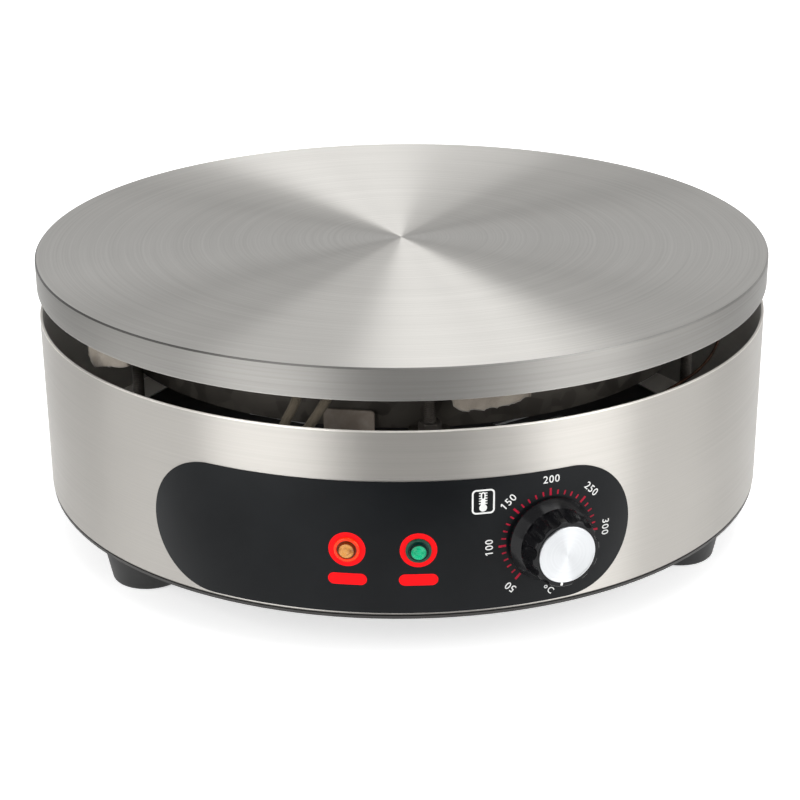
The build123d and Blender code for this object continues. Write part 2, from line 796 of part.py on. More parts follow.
def make_knob_body():
    outline = Polyline(
        (0, 0, knob_front),
        (knob_front_radius, 0, knob_front),
        (knob_root_radius, 0, knob_grip_bottom),
        (knob_skirt_radius, 0, knob_cone_bottom),
        (knob_skirt_radius, 0, knob_back),
        (knob_cavity_radius, 0, knob_back),
        (knob_cavity_radius, 0, knob_back + knob_cavity_depth),
        (knob_boss_radius, 0, knob_back + knob_cavity_depth),
        (knob_boss_radius, 0, knob_back + knob_boss_setback),
        (0, 0, knob_back + knob_boss_setback),
        close=True,
    )
    knob = revolve(make_face(outline), Axis.Z)
    front_edge = knob.edges().filter_by(GeomType.CIRCLE).sort_by(Axis.Z)[-1]
    knob = fillet(front_edge, knob_front_round)
    draft = math.degrees(math.atan(knob_grip_taper / knob_grip_height))
    cutter = rod(knob_scallop_radius, knob_grip_height + knob_cone_height)
    reach = knob_root_radius - knob_scallop_depth + knob_scallop_radius
    for turn in range(1, knob_scallop_places):
        spin = Rot(0, 0, 90 + 360 / knob_scallop_places * turn)
        knob -= spin * Pos(reach, 0, knob_grip_bottom) * Rot(0, -draft, 0) * cutter
    knob -= rod(knob_cap_radius + thread_clearance, knob_front, knob_cap_seat)
    knob -= rod(spindle_bore_radius, spindle_reach + spindle_clearance)
    room_width = leaf_width + 2 * thread_clearance
    room_depth = spindle_bore_radius + leaf_thickness + thread_clearance
    leaf_room = block(room_width, room_depth, leaf_length + 2 * leaf_end_gap, spindle_flat_bottom)
    knob -= Pos(0, room_depth / 2, 0) * leaf_room
    groove_length = knob_front_radius - knob_cap_radius + 2 * pointer_groove_margin
    groove = Box(pointer_width, groove_length, 2 * pointer_depth)
    knob -= Pos(0, (knob_front_radius + knob_cap_radius) / 2, knob_front) * groove
    return dial_place * pointer_turn * knob


def make_knob_pointer():
    length = knob_front_radius - knob_front_round - knob_cap_radius
    bar = block(pointer_width, length, pointer_depth + pointer_proud, knob_front - pointer_depth)
    middle = knob_cap_radius + length / 2 + thread_clearance
    return dial_place * pointer_turn * Pos(0, middle, 0) * bar


def make_knob_cap():
    cap = rod(knob_cap_radius, knob_cap_thickness, knob_cap_seat)
    edge = cap.edges().filter_by(GeomType.CIRCLE).sort_by(Axis.Z)[-1]
    cap = chamfer(edge, knob_cap_edge)
    return dial_place * cap


def make_knob_leaf():
    """The bowed spring leaf between the knob's bore and the flat of the spindle."""
    near = spindle_flat + thread_clearance
    far = spindle_bore_radius
    low = spindle_flat_bottom + leaf_end_gap
    middle = low + leaf_length / 2
    high = low + leaf_length
    inner = ThreePointArc((0, far, low), (0, near, middle), (0, far, high))
    outer = Pos(0, leaf_thickness, 0) * inner
    ends = Line(inner @ 0, outer @ 0) + Line(inner @ 1, outer @ 1)
    leaf = extrude(make_face(inner + outer + ends), leaf_width / 2, both=True)
    return dial_place * pointer_turn * leaf


# --- cable gland: its places are measured out from the wall's outer face

gland_seal_bottom = gland_hex_thickness - gland_seal_sink
gland_neck_top = gland_hex_thickness + gland_neck_length
gland_seal_radius = gland_neck_radius - gland_neck_wall
gland_cap_radius = gland_neck_radius + gland_cap_wall
gland_flats = 2 * (gland_thread_radius + gland_hex_margin)


def make_gland_body():
    body = extrude(RegularPolygon(gland_flats / 2, 6, major_radius=False), gland_hex_thickness)
    body += rod(gland_neck_radius, gland_neck_length, gland_hex_thickness)
    body += rod(gland_thread_radius, gland_inside_length, -gland_inside_length)
    body -= rod(gland_bore_radius, gland_inside_length + gland_hex_thickness, -gland_inside_length)
    body -= rod(gland_seal_radius + thread_clearance, gland_neck_top, gland_seal_bottom)
    return gland_face * body


def make_gland_seal():
    length = gland_neck_top - gland_seal_bottom
    seal = ring(gland_seal_radius, cable_radius + gland_cable_clearance, length, gland_seal_bottom)
    return gland_face * seal


def make_gland_cap():
    bottom = gland_hex_thickness
    height = gland_neck_length + gland_cap_thickness
    cap = rod(gland_cap_radius, height, bottom)
    cap = fillet(cap.edges().filter_by(GeomType.CIRCLE).sort_by(Axis.Z)[-1], gland_cap_round)
    for place in PolarLocations(gland_cap_radius + gland_grip_offset, gland_grip_count):
        cap -= place * rod(gland_grip_radius, height, bottom)
    cap -= rod(gland_neck_radius + thread_clearance, gland_neck_length, bottom)
    cap -= rod(gland_bore_radius, height, bottom)
    return gland_face * cap


def make_gland_locknut():
    flats = gland_flats + 2 * gland_locknut_margin
    front = -behind_wall(flats / math.sqrt(3))
    nut = hex_nut(flats, gland_locknut_thickness, gland_thread_radius + thread_clearance)
    return gland_face * Pos(0, 0, front - gland_locknut_thickness) * nut


# --- wiring bracket, terminal block and earth stud

bracket_place = stand(bracket_azimuth, shell_radius - bracket_inset, 0)
bracket_top = tray_rim - bracket_top_drop
block_bottom = base_top + block_lift
block_middle = bracket_sheet + block_depth / 2


def bracket_screw_places():
    """The two screws through the bracket's foot."""
    inward = bracket_foot_length / 2 + bracket_sheet
    return [bracket_place * Pos(side * bracket_screw_spacing / 2, inward, 0) for side in (-1, 1)]


def pole_height(pole):
    """The height of one pole of the terminal block, counted from below."""
    return block_bottom + block_height / 2 + (pole - (block_pole_count - 1) / 2) * block_pole_pitch


def make_wiring_bracket():
    height = bracket_top - base_top
    upright = Pos(0, bracket_sheet / 2, 0) * block(bracket_width, bracket_sheet, height, base_top)
    upright = fillet(upright.edges().filter_by(Axis.Y).group_by(Axis.Z)[-1], bracket_corner)
    foot = block(bracket_width, bracket_foot_length, bracket_sheet, base_top)
    bracket = bracket_place * (upright + Pos(0, bracket_foot_length / 2, 0) * foot)
    for place in bracket_screw_places():
        bracket -= place * rod(screw_radius + hole_clearance, bracket_sheet, base_top)
    return bracket


def make_bracket_screws():
    length = base_plate_thickness + bracket_sheet + screw_nut_height + screw_end
    screw = Rot(180, 0, 0) * pan_screw(screw_radius, screw_head_radius, screw_head_height, length)
    return group([place * Pos(0, 0, base_bottom) * screw for place in bracket_screw_places()])


def make_bracket_nuts():
    bottom = base_top + bracket_sheet
    nut = hex_nut(screw_nut_flats, screw_nut_height, screw_radius + thread_clearance, bottom)
    return group([place * nut for place in bracket_screw_places()])


def make_terminal_block():
    body = Pos(0, block_middle, 0) * block(block_width, block_depth, block_height, block_bottom)
    body = fillet(body.edges().filter_by(Axis.Z), block_corner)
    channel = Rot(0, 90, 0) * Cylinder(insert_radius + thread_clearance, block_width)
    screw_hole = Rot(90, 0, 0) * Cylinder(block_screw_radius + 2 * hole_clearance, block_depth)
    for pole in range(block_pole_count):
        height = pole_height(pole)
        body -= Pos(0, block_middle, height) * channel
        for side in (-1, 1):
            body -= Pos(side * block_screw_spacing / 2, bracket_sheet + block_depth, height) * screw_hole
    return bracket_place * body


def make_terminal_inserts():
    length = block_width - 2 * insert_end_gap
    tube = Rot(0, 90, 0) * (Cylinder(insert_radius, length) - Cylinder(insert_bore, length))
    return group(
        [bracket_place * Pos(0, block_middle, pole_height(pole)) * tube for pole in range(block_pole_count)]
    )


def make_terminal_screws():
    length = block_depth / 2 - block_screw_recess - insert_radius
    screw = Rot(-90, 0, 0) * rod(block_screw_radius, length)
    screws = []
    for pole in range(block_pole_count):
        for side in (-1, 1):
            spot = Pos(side * block_screw_spacing / 2, block_middle + insert_radius, pole_height(pole))
            screws.append(bracket_place * spot * screw)
    return group(screws)


earth_place = stand(earth_azimuth, shell_radius - earth_inset, 0)


def make_earth_stud():
    length = earth_stud_height + base_plate_thickness
    screw = Rot(180, 0, 0) * pan_screw(screw_radius, screw_head_radius, screw_head_height, length)
    return earth_place * Pos(0, 0, base_bottom) * screw


def make_earth_nuts():
    lower = hex_nut(screw_nut_flats, screw_nut_height, screw_radius + thread_clearance, base_top)
    upper_bottom = base_top + screw_nut_height + earth_washer_thickness
    upper = hex_nut(screw_nut_flats, screw_nut_height, screw_radius + thread_clearance, upper_bottom)
    return group([earth_place * lower, earth_place * upper])


def make_earth_washer():
    bore = screw_radius + thread_clearance
    return earth_place * ring(earth_washer_radius, bore, earth_washer_thickness, base_top + screw_nut_height)


# --- leads inside the housing: each starts and ends on a terminal, and its other points are chosen by hand


def pole_mouth(pole, side, out=0.0):
    """The middle of a terminal's mouth, side 1 on the right and -1 on the left, or a point outside it."""
    reach = block_width / 2 - insert_end_gap + out
    return (bracket_place * Pos(side * reach, block_middle, pole_height(pole))).position


def inside(azimuth, inset, height):
    """A point inside the housing, this far in from the wall's outer face."""
    return point_at(azimuth, shell_radius - inset, height)


def pin_side(ring_radius, side, out=0.0):
    """A point on the outer side of a heating element's terminal pin, half-way up, or this far from it."""
    height = plate_bottom - element_bend_radius - element_leg_length - element_pin_length / 2
    pin = element_leg(ring_radius, side, height)
    away = Vector(pin.X, pin.Y, 0).normalized()
    return pin + away * (element_pin_radius + out)


def tab_end(side, out=0.0):
    """The end of a thermostat tab, or a point this far beyond it."""
    depth = thermostat_back - thermostat_tab_length - out
    return (dial_place * Pos(side * thermostat_tab_spacing / 2, -thermostat_tab_drop, depth)).position


def lamp_tab_end(offset, side, out=0.0):
    """The end of a lamp tab, or a point this far beyond it."""
    depth = lamp_back - lamp_tab_length - out
    return (lamp_place(offset) * Pos(side * lamp_tab_spacing / 2, 0, depth)).position


def make_supply_lead():
    route = [
        tab_end(-1),
        tab_end(-1, 9),
        inside(9, 57.5, base_top + 34),
        pole_mouth(2, 1, 13),
        pole_mouth(2, 1),
    ]
    return soft_tube(route, lead_radius)


def make_heater_leads():
    """Two leads in thick woven sleeves, up through the gap beside the tray and over its rim."""
    over_rim = tray_rim + sleeve_radius + 2.4
    switched = [
        tab_end(1),
        tab_end(1, 9),
        inside(15, 61.5, base_top + 42),
        inside(2, 65.5, base_top + 62),
        inside(-10, 53.5, tray_rim - 34),
        inside(-15, 33.5, tray_rim - 31),
        inside(-14, 21.5, tray_rim - 22),
        inside(-11.5, 20.5, tray_rim - 11),
        inside(-9.4, 24.5, tray_rim),
        inside(-8.4, 37.5, over_rim),
        pin_side(outer_ring_radius, 1, 12) + Vector(0, 0, 4),
        pin_side(outer_ring_radius, 1, lead_end_gap),
    ]
    neutral = [
        pole_mouth(0, -1),
        pole_mouth(0, -1, 12),
        inside(-19, 37.5, base_top + 36),
        inside(-20, 27.5, base_top + 54),
        inside(-19, 21.5, tray_rim - 32),
        inside(-16.5, 19.5, tray_rim - 16),
        inside(-14.2, 23.5, tray_rim - 1),
        inside(-15.4, 37.5, over_rim),
        pin_side(outer_ring_radius, -1, 12) + Vector(0, 0, 4),
        pin_side(outer_ring_radius, -1, lead_end_gap),
    ]
    return group([soft_tube(switched, sleeve_radius), soft_tube(neutral, sleeve_radius)])


def make_heater_links():
    """Two short leads that join the inner ring to the outer one."""
    links = []
    for side in (1, -1):
        start = pin_side(outer_ring_radius, side, -2 * element_pin_radius - lead_end_gap)
        end = pin_side(inner_ring_radius, side, lead_end_gap)
        sag = (start + end) * 0.5 + Vector(0, 0, -element_pin_radius)
        links.append(soft_tube([start, sag, end], lead_radius))
    return group(links)


def make_lamp_leads():
    power_left = [
        lamp_tab_end(power_lamp_offset, -1),
        lamp_tab_end(power_lamp_offset, -1, 5),
        inside(-11, 30.5, base_top + 28),
        inside(-16, 35.5, base_top + 26),
        pole_mouth(1, -1, 8),
        pole_mouth(1, -1),
    ]
    power_right = [
        lamp_tab_end(power_lamp_offset, 1),
        lamp_tab_end(power_lamp_offset, 1, 5),
        inside(-9, 31.5, base_top + 46),
        inside(-16, 33.5, base_top + 50),
        pole_mouth(2, -1, 8),
        pole_mouth(2, -1),
    ]
    heat_left = [
        lamp_tab_end(heat_lamp_offset, -1),
        lamp_tab_end(heat_lamp_offset, -1, 6),
        inside(3, 41.5, base_top + 26),
        pole_mouth(0, 1, 8),
        pole_mouth(0, 1),
    ]
    heat_right = [
        lamp_tab_end(heat_lamp_offset, 1),
        lamp_tab_end(heat_lamp_offset, 1, 7),
        inside(4.5, 47.5, base_top + 36),
        pole_mouth(1, 1, 8),
        pole_mouth(1, 1),
    ]
    routes = (power_left, power_right, heat_left, heat_right)
    return group([soft_tube(route, lamp_lead_radius) for route in routes])


def make_capillary_tube():
    """The fine tube from the thermostat's capsule, over the tray's rim, to the sensor bulb."""
    crossing = (tray_rim + bar_top) / 2
    route = [
        (dial_place * Pos(0, 0, thermostat_back - thermostat_capsule_depth)).position,
        (dial_place * Pos(0, 0, thermostat_back - thermostat_capsule_depth - 10)).position,
        inside(31, 59.5, base_top + 46),
        inside(43, 51.5, base_top + 60),
        inside(54, 34.5, tray_rim - 31),
        inside(64, 19.5, tray_rim - 20),
        inside(75, 18.5, tray_rim - 8),
        inside(84, 29.5, tray_rim + 1),
        inside(87, 47.5, crossing),
        inside(86, 65.5, crossing),
        (sensor_place * Pos(-sensor_bulb_length / 2 - 10, 1, -sensor_bulb_radius - 1)).position,
        (sensor_place * Pos(-sensor_bulb_length / 2 - lead_end_gap / 2, 0, -sensor_bulb_radius)).position,
    ]
    return soft_tube(route, capillary_radius)


nodes = {
    "griddle_plate": make_griddle_plate(),
    "plate_studs": make_studs(foot_azimuths, stud_circle_radius, foot_nut_bottom - stud_end),
    "plate_stud_nuts": make_nuts(
        foot_azimuths, stud_circle_radius, (foot_nut_bottom, base_top, hanger_nut_bottom)
    ),
    "foot_washers": make_foot_washers(),
    "tray_studs": make_studs(tray_azimuths, stud_circle_radius, tray_bottom - nut_height - stud_end),
    "tray_stud_nuts": make_nuts(
        tray_azimuths, stud_circle_radius, (tray_bottom - nut_height, tray_floor, hanger_nut_bottom)
    ),
    "insulation_tray": make_insulation_tray(),
    "insulation_blanket": make_insulation_blanket(),
    "heating_element_outer": make_heating_element(outer_ring_radius),
    "heating_element_inner": make_heating_element(inner_ring_radius),
    "element_pins": make_element_pins(),
    "element_clamp_bars": make_clamp_bars(),
    "clamp_studs": make_studs(clamp_azimuths, clamp_stud_radius, bar_bottom - nut_height - stud_end),
    "clamp_nuts": make_nuts(clamp_azimuths, clamp_stud_radius, (bar_bottom - nut_height,)),
    "sensor_bulb": make_sensor_bulb(),
    "sensor_clip": make_sensor_clip(),
    "sensor_clip_screws": make_sensor_screws(),
    "housing_shell": make_housing_shell(),
    "base_plate": make_base_plate(),
    "housing_screws": make_housing_screws(),
    "housing_nuts": make_housing_nuts(),
    "control_panel_overlay": make_panel_overlay(),
    "power_lamp_lens": make_lamp_lens(power_lamp_offset),
    "power_lamp_body": make_lamp_body(power_lamp_offset),
    "heat_lamp_lens": make_lamp_lens(heat_lamp_offset),
    "heat_lamp_body": make_lamp_body(heat_lamp_offset),
    "lamp_clips": make_lamp_clips(),
    "lamp_tabs": make_lamp_tabs(),
    "thermostat_plate": make_thermostat_plate(),
    "thermostat_body": make_thermostat_body(),
    "thermostat_capsule": make_thermostat_capsule(),
    "thermostat_tabs": make_thermostat_tabs(),
    "thermostat_screws": make_thermostat_screws(),
    "thermostat_spindle": make_thermostat_spindle(),
    "knob_body": make_knob_body(),
    "knob_pointer": make_knob_pointer(),
    "knob_cap": make_knob_cap(),
    "knob_leaf_spring": make_knob_leaf(),
    "cable_gland_body": make_gland_body(),
    "cable_gland_seal": make_gland_seal(),
    "cable_gland_cap": make_gland_cap(),
    "cable_gland_locknut": make_gland_locknut(),
    "wiring_bracket": make_wiring_bracket(),
    "bracket_screws": make_bracket_screws(),
    "bracket_nuts": make_bracket_nuts(),
    "terminal_block": make_terminal_block(),
    "terminal_inserts": make_terminal_inserts(),
    "terminal_screws": make_terminal_screws(),
    "earth_stud": make_earth_stud(),
    "earth_nuts": make_earth_nuts(),
    "earth_washer": make_earth_washer(),
    "supply_lead": make_supply_lead(),
    "heater_leads": make_heater_leads(),
    "heater_links": make_heater_links(),
    "lamp_leads": make_lamp_leads(),
    "capillary_tube": make_capillary_tube(),
}
for azimuth, name in zip(foot_azimuths, foot_names):
    nodes[f"foot_{name}"] = make_foot(azimuth)

os.makedirs("parts", exist_ok=True)
for name, shape in nodes.items():
    export_step(shape, f"parts/{name}.step")
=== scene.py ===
import math

import bpy
from mathutils import Matrix, Vector


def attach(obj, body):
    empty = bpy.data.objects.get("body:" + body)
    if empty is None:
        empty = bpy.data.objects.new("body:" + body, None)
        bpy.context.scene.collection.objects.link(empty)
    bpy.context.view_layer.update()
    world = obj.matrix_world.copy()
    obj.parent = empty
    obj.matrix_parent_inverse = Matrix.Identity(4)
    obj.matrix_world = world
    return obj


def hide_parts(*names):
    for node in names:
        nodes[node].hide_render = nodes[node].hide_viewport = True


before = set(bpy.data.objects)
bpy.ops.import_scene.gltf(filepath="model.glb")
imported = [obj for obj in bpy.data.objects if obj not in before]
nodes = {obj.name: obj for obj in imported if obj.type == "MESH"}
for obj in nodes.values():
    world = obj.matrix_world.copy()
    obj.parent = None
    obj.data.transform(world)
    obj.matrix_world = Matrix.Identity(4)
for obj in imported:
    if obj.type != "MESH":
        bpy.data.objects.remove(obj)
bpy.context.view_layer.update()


# Griddle. A round plate of cast iron, 400 mm across and 16.8 mm thick. Its face and edge are turned on
# a lathe and ground, which leaves fine rings that draw the light out into bright wedges.

mm = 0.001
plate_radius = 200.0
plate_bottom = 142.2
plate_top = 159.0
plate_bottom_round = 1.5
plate_top_chamfer = 0.8
chamfer_round = 0.15
face_rings = (120, 30)
element_rings = (75.0, 135.0)
element_groove = 4.1
groove_steps = 8
corner_steps = 4
fine_sides = 360
merge_distance = 0.002 * mm
smooth_angle = math.radians(35)


def soften(profile):
    """Rounds each corner of a (radius, height, rounding) profile, in mm, into a short arc of points."""
    points = [Vector(profile[0][:2])]
    for before, (radius, height, rounding), after in zip(profile, profile[1:], profile[2:]):
        corner = Vector((radius, height))
        if rounding == 0:
            points.append(corner)
            continue
        back = (Vector(before[:2]) - corner).normalized()
        ahead = (Vector(after[:2]) - corner).normalized()
        half = back.angle(ahead) / 2
        centre = corner + (back + ahead).normalized() * (rounding / math.sin(half))
        start = corner + back * (rounding / math.tan(half)) - centre
        end = corner + ahead * (rounding / math.tan(half)) - centre
        for step in range(corner_steps + 1):
            points.append(centre + start.lerp(end, step / corner_steps).normalized() * rounding)
    return points + [Vector(profile[-1][:2])]


def edit_all():
    """Opens the active piece in edit mode with all of it selected."""
    bpy.ops.object.mode_set(mode="EDIT")
    bpy.ops.mesh.select_all(action="SELECT")


def draw_line(name, points):
    """Draws a line through points in mm as a new piece, and leaves it open in edit mode."""
    bpy.ops.object.select_all(action="DESELECT")
    bpy.ops.mesh.primitive_plane_add(size=mm)
    piece = bpy.context.active_object
    piece.name = piece.data.name = name
    edit_all()
    bpy.ops.mesh.merge(type="CENTER")
    bpy.ops.transform.translate(value=tuple(part * mm for part in points[0]))
    for here, there in zip(points, points[1:]):
        step = tuple((end - start) * mm for start, end in zip(here, there))
        bpy.ops.mesh.extrude_vertices_move(TRANSFORM_OT_translate={"value": step})
    return piece


def close_mesh():
    """Merges the doubles of the mesh in edit mode, turns its faces outwards and smooths its curves."""
    bpy.ops.mesh.select_all(action="SELECT")
    bpy.ops.mesh.remove_doubles(threshold=merge_distance)
    bpy.ops.mesh.normals_make_consistent(inside=False)
    bpy.ops.object.mode_set(mode="OBJECT")
    bpy.ops.object.shade_smooth_by_angle(angle=smooth_angle)


def turn_on_lathe(name, profile, sides):
    """Draws a half profile of (radius, height, rounding) in mm and spins it about the Z axis."""
    piece = draw_line(name, [(point.x, 0, point.y) for point in soften(profile)])
    bpy.ops.mesh.select_all(action="SELECT")
    bpy.ops.mesh.spin(steps=sides, angle=2 * math.pi, center=(0, 0, 0), axis=(0, 0, 1))
    close_mesh()
    return piece


def linear(colour):
    """Turns an sRGB hex colour such as "#a0b0c0" into the linear colour that a shader takes."""
    parts = [int(colour[at:at + 2], 16) / 255 for at in (1, 3, 5)]
    curve = [part / 12.92 if part <= 0.04045 else ((part + 0.055) / 1.055) ** 2.4 for part in parts]
    return (*curve, 1.0)


def new_material(name, **shader_values):
    """Makes a material with one Principled shader whose own sockets take the given values."""
    material = bpy.data.materials.new(name)
    material.use_nodes = True
    shader = material.node_tree.nodes["Principled BSDF"]
    for socket, value in shader_values.items():
        shader.inputs[socket.replace("_", " ")].default_value = value
    return material, material.node_tree, shader


def add_node(tree, kind, settings=(), values=(), links=()):
    """Adds a node, sets its properties and its inputs' values, and links outputs to its inputs."""
    node = tree.nodes.new("ShaderNode" + kind)
    for key, value in dict(settings).items():
        setattr(node, key, value)
    for key, value in dict(values).items():
        node.inputs[key].default_value = value
    for key, source in dict(links).items():
        tree.links.new(source, node.inputs[key])
    return node


def grain_round(tree, shader, centre=(0, 0, 0), axis=(0, 0, 1)):
    """Lays the metal's grain in rings round an axis, and returns the offset from that axis's point."""
    place = add_node(tree, "TexCoord").outputs["Object"]
    offset = add_node(tree, "VectorMath", {"operation": "SUBTRACT"}, {1: centre}, {0: place})
    around = add_node(tree, "VectorMath", {"operation": "CROSS_PRODUCT"}, {0: axis}, {1: offset.outputs[0]})
    spaces = {"vector_type": "VECTOR", "convert_from": "OBJECT", "convert_to": "WORLD"}
    tangent = add_node(tree, "VectorTransform", spaces, (), {0: around.outputs[0]})
    tree.links.new(tangent.outputs[0], shader.inputs["Tangent"])
    return offset.outputs[0]


def cover(tree, shader, pattern, dark, light, ends=(0, 1), shade=None, rough=None, relief=None):
    """Colours a surface from dark to light as a pattern rises from one of its ends to the other.

    shade multiplies the colour to paint light and shade into it, rough is a pattern with the least and
    greatest roughness, and relief is a pattern with the strength and the depth in mm of its bumps.
    """
    tone = add_node(tree, "ValToRGB", (), (), {"Fac": pattern})
    for stop, position, colour in zip(tone.color_ramp.elements, ends, (dark, light)):
        stop.position = position
        stop.color = linear(colour)
    toned = tone.outputs["Color"]
    if shade is not None:
        shaded = add_node(tree, "VectorMath", {"operation": "SCALE"}, (), {0: toned, "Scale": shade})
        toned = shaded.outputs[0]
    tree.links.new(toned, shader.inputs["Base Color"])
    if rough is not None:
        pattern, least, most = rough
        matt = add_node(tree, "MapRange", (), {"To Min": least, "To Max": most}, {"Value": pattern})
        tree.links.new(matt.outputs["Result"], shader.inputs["Roughness"])
    if relief is not None:
        pattern, strength, depth = relief
        bumps = add_node(
            tree, "Bump", (), {"Strength": strength, "Distance": depth * mm}, {"Height": pattern}
        )
        tree.links.new(bumps.outputs["Normal"], shader.inputs["Normal"])


def coat(piece, material):
    """Gives a piece this material in place of any that it has."""
    piece.data.materials.clear()
    piece.data.materials.append(material)


plate_profile = [(0, plate_bottom, 0)]
for ring_radius in element_rings:
    for step in range(groove_steps + 1):
        sweep = math.pi * step / groove_steps
        across = ring_radius - element_groove * math.cos(sweep)
        plate_profile.append((across, plate_bottom + element_groove * math.sin(sweep), 0))
plate_profile += [
    (plate_radius, plate_bottom, plate_bottom_round),
    (plate_radius, plate_top - plate_top_chamfer, chamfer_round),
    (plate_radius - plate_top_chamfer, plate_top, chamfer_round),
    *((ring_radius, plate_top, 0) for ring_radius in face_rings),
    (0, plate_top, 0),
]
griddle = turn_on_lathe("griddle", plate_profile, fine_sides)
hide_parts("griddle_plate")
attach(griddle, "root")

# Turned and ground cast iron: a grey, slightly warm metal with rings of lighter and darker grain. Its
# side is darkened as painted shade, and the chamfer between them is painted nearly black as a dark
# reflection, lighter towards the right.
# The real feed is about 0.2 mm; the rings are drawn 1 to 3 mm wide so that they show.
rings_per_metre = 900.0
change_round_ring = (6, 6, 0)
# Painted shade: the side is darkened, the chamfer painted nearly black as a dark reflection, and that shade
# fades towards the right.
painted_side_shade = 0.68
painted_slope_shades = ((0.2, painted_side_shade), (0.42, 0.2), (0.86, 0.24), (0.97, 1.0))
painted_shade_fade_right = {"From Min": -0.1, "From Max": 0.12, "To Min": 0.2, "To Max": 0.6}
slope_roughness = {"From Min": 0.2, "From Max": 0.9, "To Min": 0.56, "To Max": 0.38}
patch_roughness = 0.08

turned_iron, tree, shader = new_material(
    "turned cast iron", Metallic=1.0, Anisotropic=0.97, Anisotropic_Rotation=0.25
)
offset = grain_round(tree, shader)
geometry = add_node(tree, "NewGeometry")
facing = add_node(tree, "SeparateXYZ", (), (), {0: geometry.outputs["Normal"]})
place = add_node(tree, "SeparateXYZ", (), (), {0: offset})
flat = add_node(tree, "VectorMath", {"operation": "MULTIPLY"}, {1: (1, 1, 0)}, {0: offset})
radius = add_node(tree, "VectorMath", {"operation": "LENGTH"}, (), {0: flat.outputs[0]})
outwards = add_node(
    tree, "Math", {"operation": "MULTIPLY"}, {1: rings_per_metre}, {0: radius.outputs["Value"]}
)
upwards = add_node(tree, "Math", {"operation": "MULTIPLY"}, {1: rings_per_metre}, {0: place.outputs["Z"]})
slow = add_node(tree, "VectorMath", {"operation": "MULTIPLY"}, {1: change_round_ring}, {0: offset})
ringed = add_node(tree, "CombineXYZ", (), (), {"Z": outwards.outputs[0]})
along = add_node(tree, "VectorMath", {"operation": "ADD"}, (), {0: slow.outputs[0], 1: ringed.outputs[0]})
rings = add_node(
    tree, "TexNoise", {"noise_dimensions": "4D"}, {"Scale": 1.0, "Detail": 4.0, "Roughness": 0.6},
    {"Vector": along.outputs[0], "W": upwards.outputs[0]},
)
# Painted shade: the colour is scaled by the height of the normal, darkest on the chamfer, and kept lighter on
# the chamfer at the right.
sloped = add_node(tree, "ValToRGB", (), (), {"Fac": facing.outputs["Z"]})
sloped.color_ramp.elements[0].color = (painted_side_shade, painted_side_shade, painted_side_shade, 1)
for slope, strength in painted_slope_shades:
    sloped.color_ramp.elements.new(slope).color = (strength, strength, strength, 1)
shade_fade_right = add_node(tree, "MapRange", (), painted_shade_fade_right, {"Value": place.outputs["X"]})
shade = add_node(
    tree, "Math", {"operation": "MAXIMUM"}, (), {0: sloped.outputs["Color"], 1: shade_fade_right.outputs["Result"]}
)
cover(
    tree, shader, rings.outputs["Fac"], "#bebcb8", "#cccac6", (0.3, 0.7), shade.outputs[0],
    relief=(rings.outputs["Fac"], 0.08, 0.3),
)
clouds = add_node(tree, "TexNoise", (), {"Scale": 9.0, "Detail": 3.0}, {"Vector": offset})
even = add_node(tree, "MapRange", (), slope_roughness, {"Value": facing.outputs["Z"]})
patchy = add_node(tree, "MapRange", (), {"To Max": patch_roughness}, {"Value": clouds.outputs["Fac"]})
rough = add_node(
    tree, "Math", {"operation": "ADD"}, (), {0: even.outputs["Result"], 1: patchy.outputs["Result"]}
)
tree.links.new(rough.outputs[0], shader.inputs["Roughness"])
coat(griddle, turned_iron)


# Housing. A drum of 0.8 mm stainless steel sheet, rolled and welded at the back. Its top edge is folded
# in over itself and its bottom edge is turned in as a flange. The sheet is brushed round the drum.

shell_radius = 199.5
shell_bottom = 30.0
shell_top = 127.2
sheet = 0.8
inner_bend = 0.6
rim_bend = 0.75
flange_bend = 1.4
hem_depth = 8.0
flange_inner = 177.5

shell = turn_on_lathe("housing_drum", [
    (shell_radius - 2 * sheet, shell_top - hem_depth, 0),
    (shell_radius - 2 * sheet, shell_top, inner_bend),
    (shell_radius, shell_top, rim_bend),
    (shell_radius, shell_bottom, flange_bend),
    (flange_inner, shell_bottom, 0),
    (flange_inner, shell_bottom + sheet, 0),
    (shell_radius - sheet, shell_bottom + sheet, inner_bend),
    (shell_radius - sheet, shell_top - hem_depth, 0),
    (shell_radius - 2 * sheet, shell_top - hem_depth, 0),
], fine_sides)
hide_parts("housing_shell")
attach(shell, "root")

# Brushed stainless steel: a warm light grey with long thin streaks that run round the drum. The folded
# rim is brightened as a painted highlight, and the bend underneath is darkened as painted shade.
# The real scratches are about 0.1 mm apart; they are drawn 0.6 to 2 mm apart so that they show.
streaks_per_metre = (7, 7, 1400)
painted_rim_highlight = {"From Min": 0.12, "From Max": 0.4, "To Min": 1.0, "To Max": 1.9}
painted_base_shade = {"From Min": -0.4, "From Max": -0.08, "To Min": 0.08, "To Max": 1.0}

brushed_steel, tree, shader = new_material(
    "brushed stainless steel", Metallic=1.0, Anisotropic=0.97, Anisotropic_Rotation=0.25
)
offset = grain_round(tree, shader)
stretched = add_node(tree, "VectorMath", {"operation": "MULTIPLY"}, {1: streaks_per_metre}, {0: offset})
streaks = add_node(
    tree, "TexNoise", (), {"Scale": 1, "Detail": 3, "Roughness": 0.6}, {"Vector": stretched.outputs[0]}
)
clouds = add_node(tree, "TexNoise", (), {"Scale": 12.0, "Detail": 2.0}, {"Vector": offset})
geometry = add_node(tree, "NewGeometry")
facing = add_node(tree, "SeparateXYZ", (), (), {0: geometry.outputs["Normal"]})
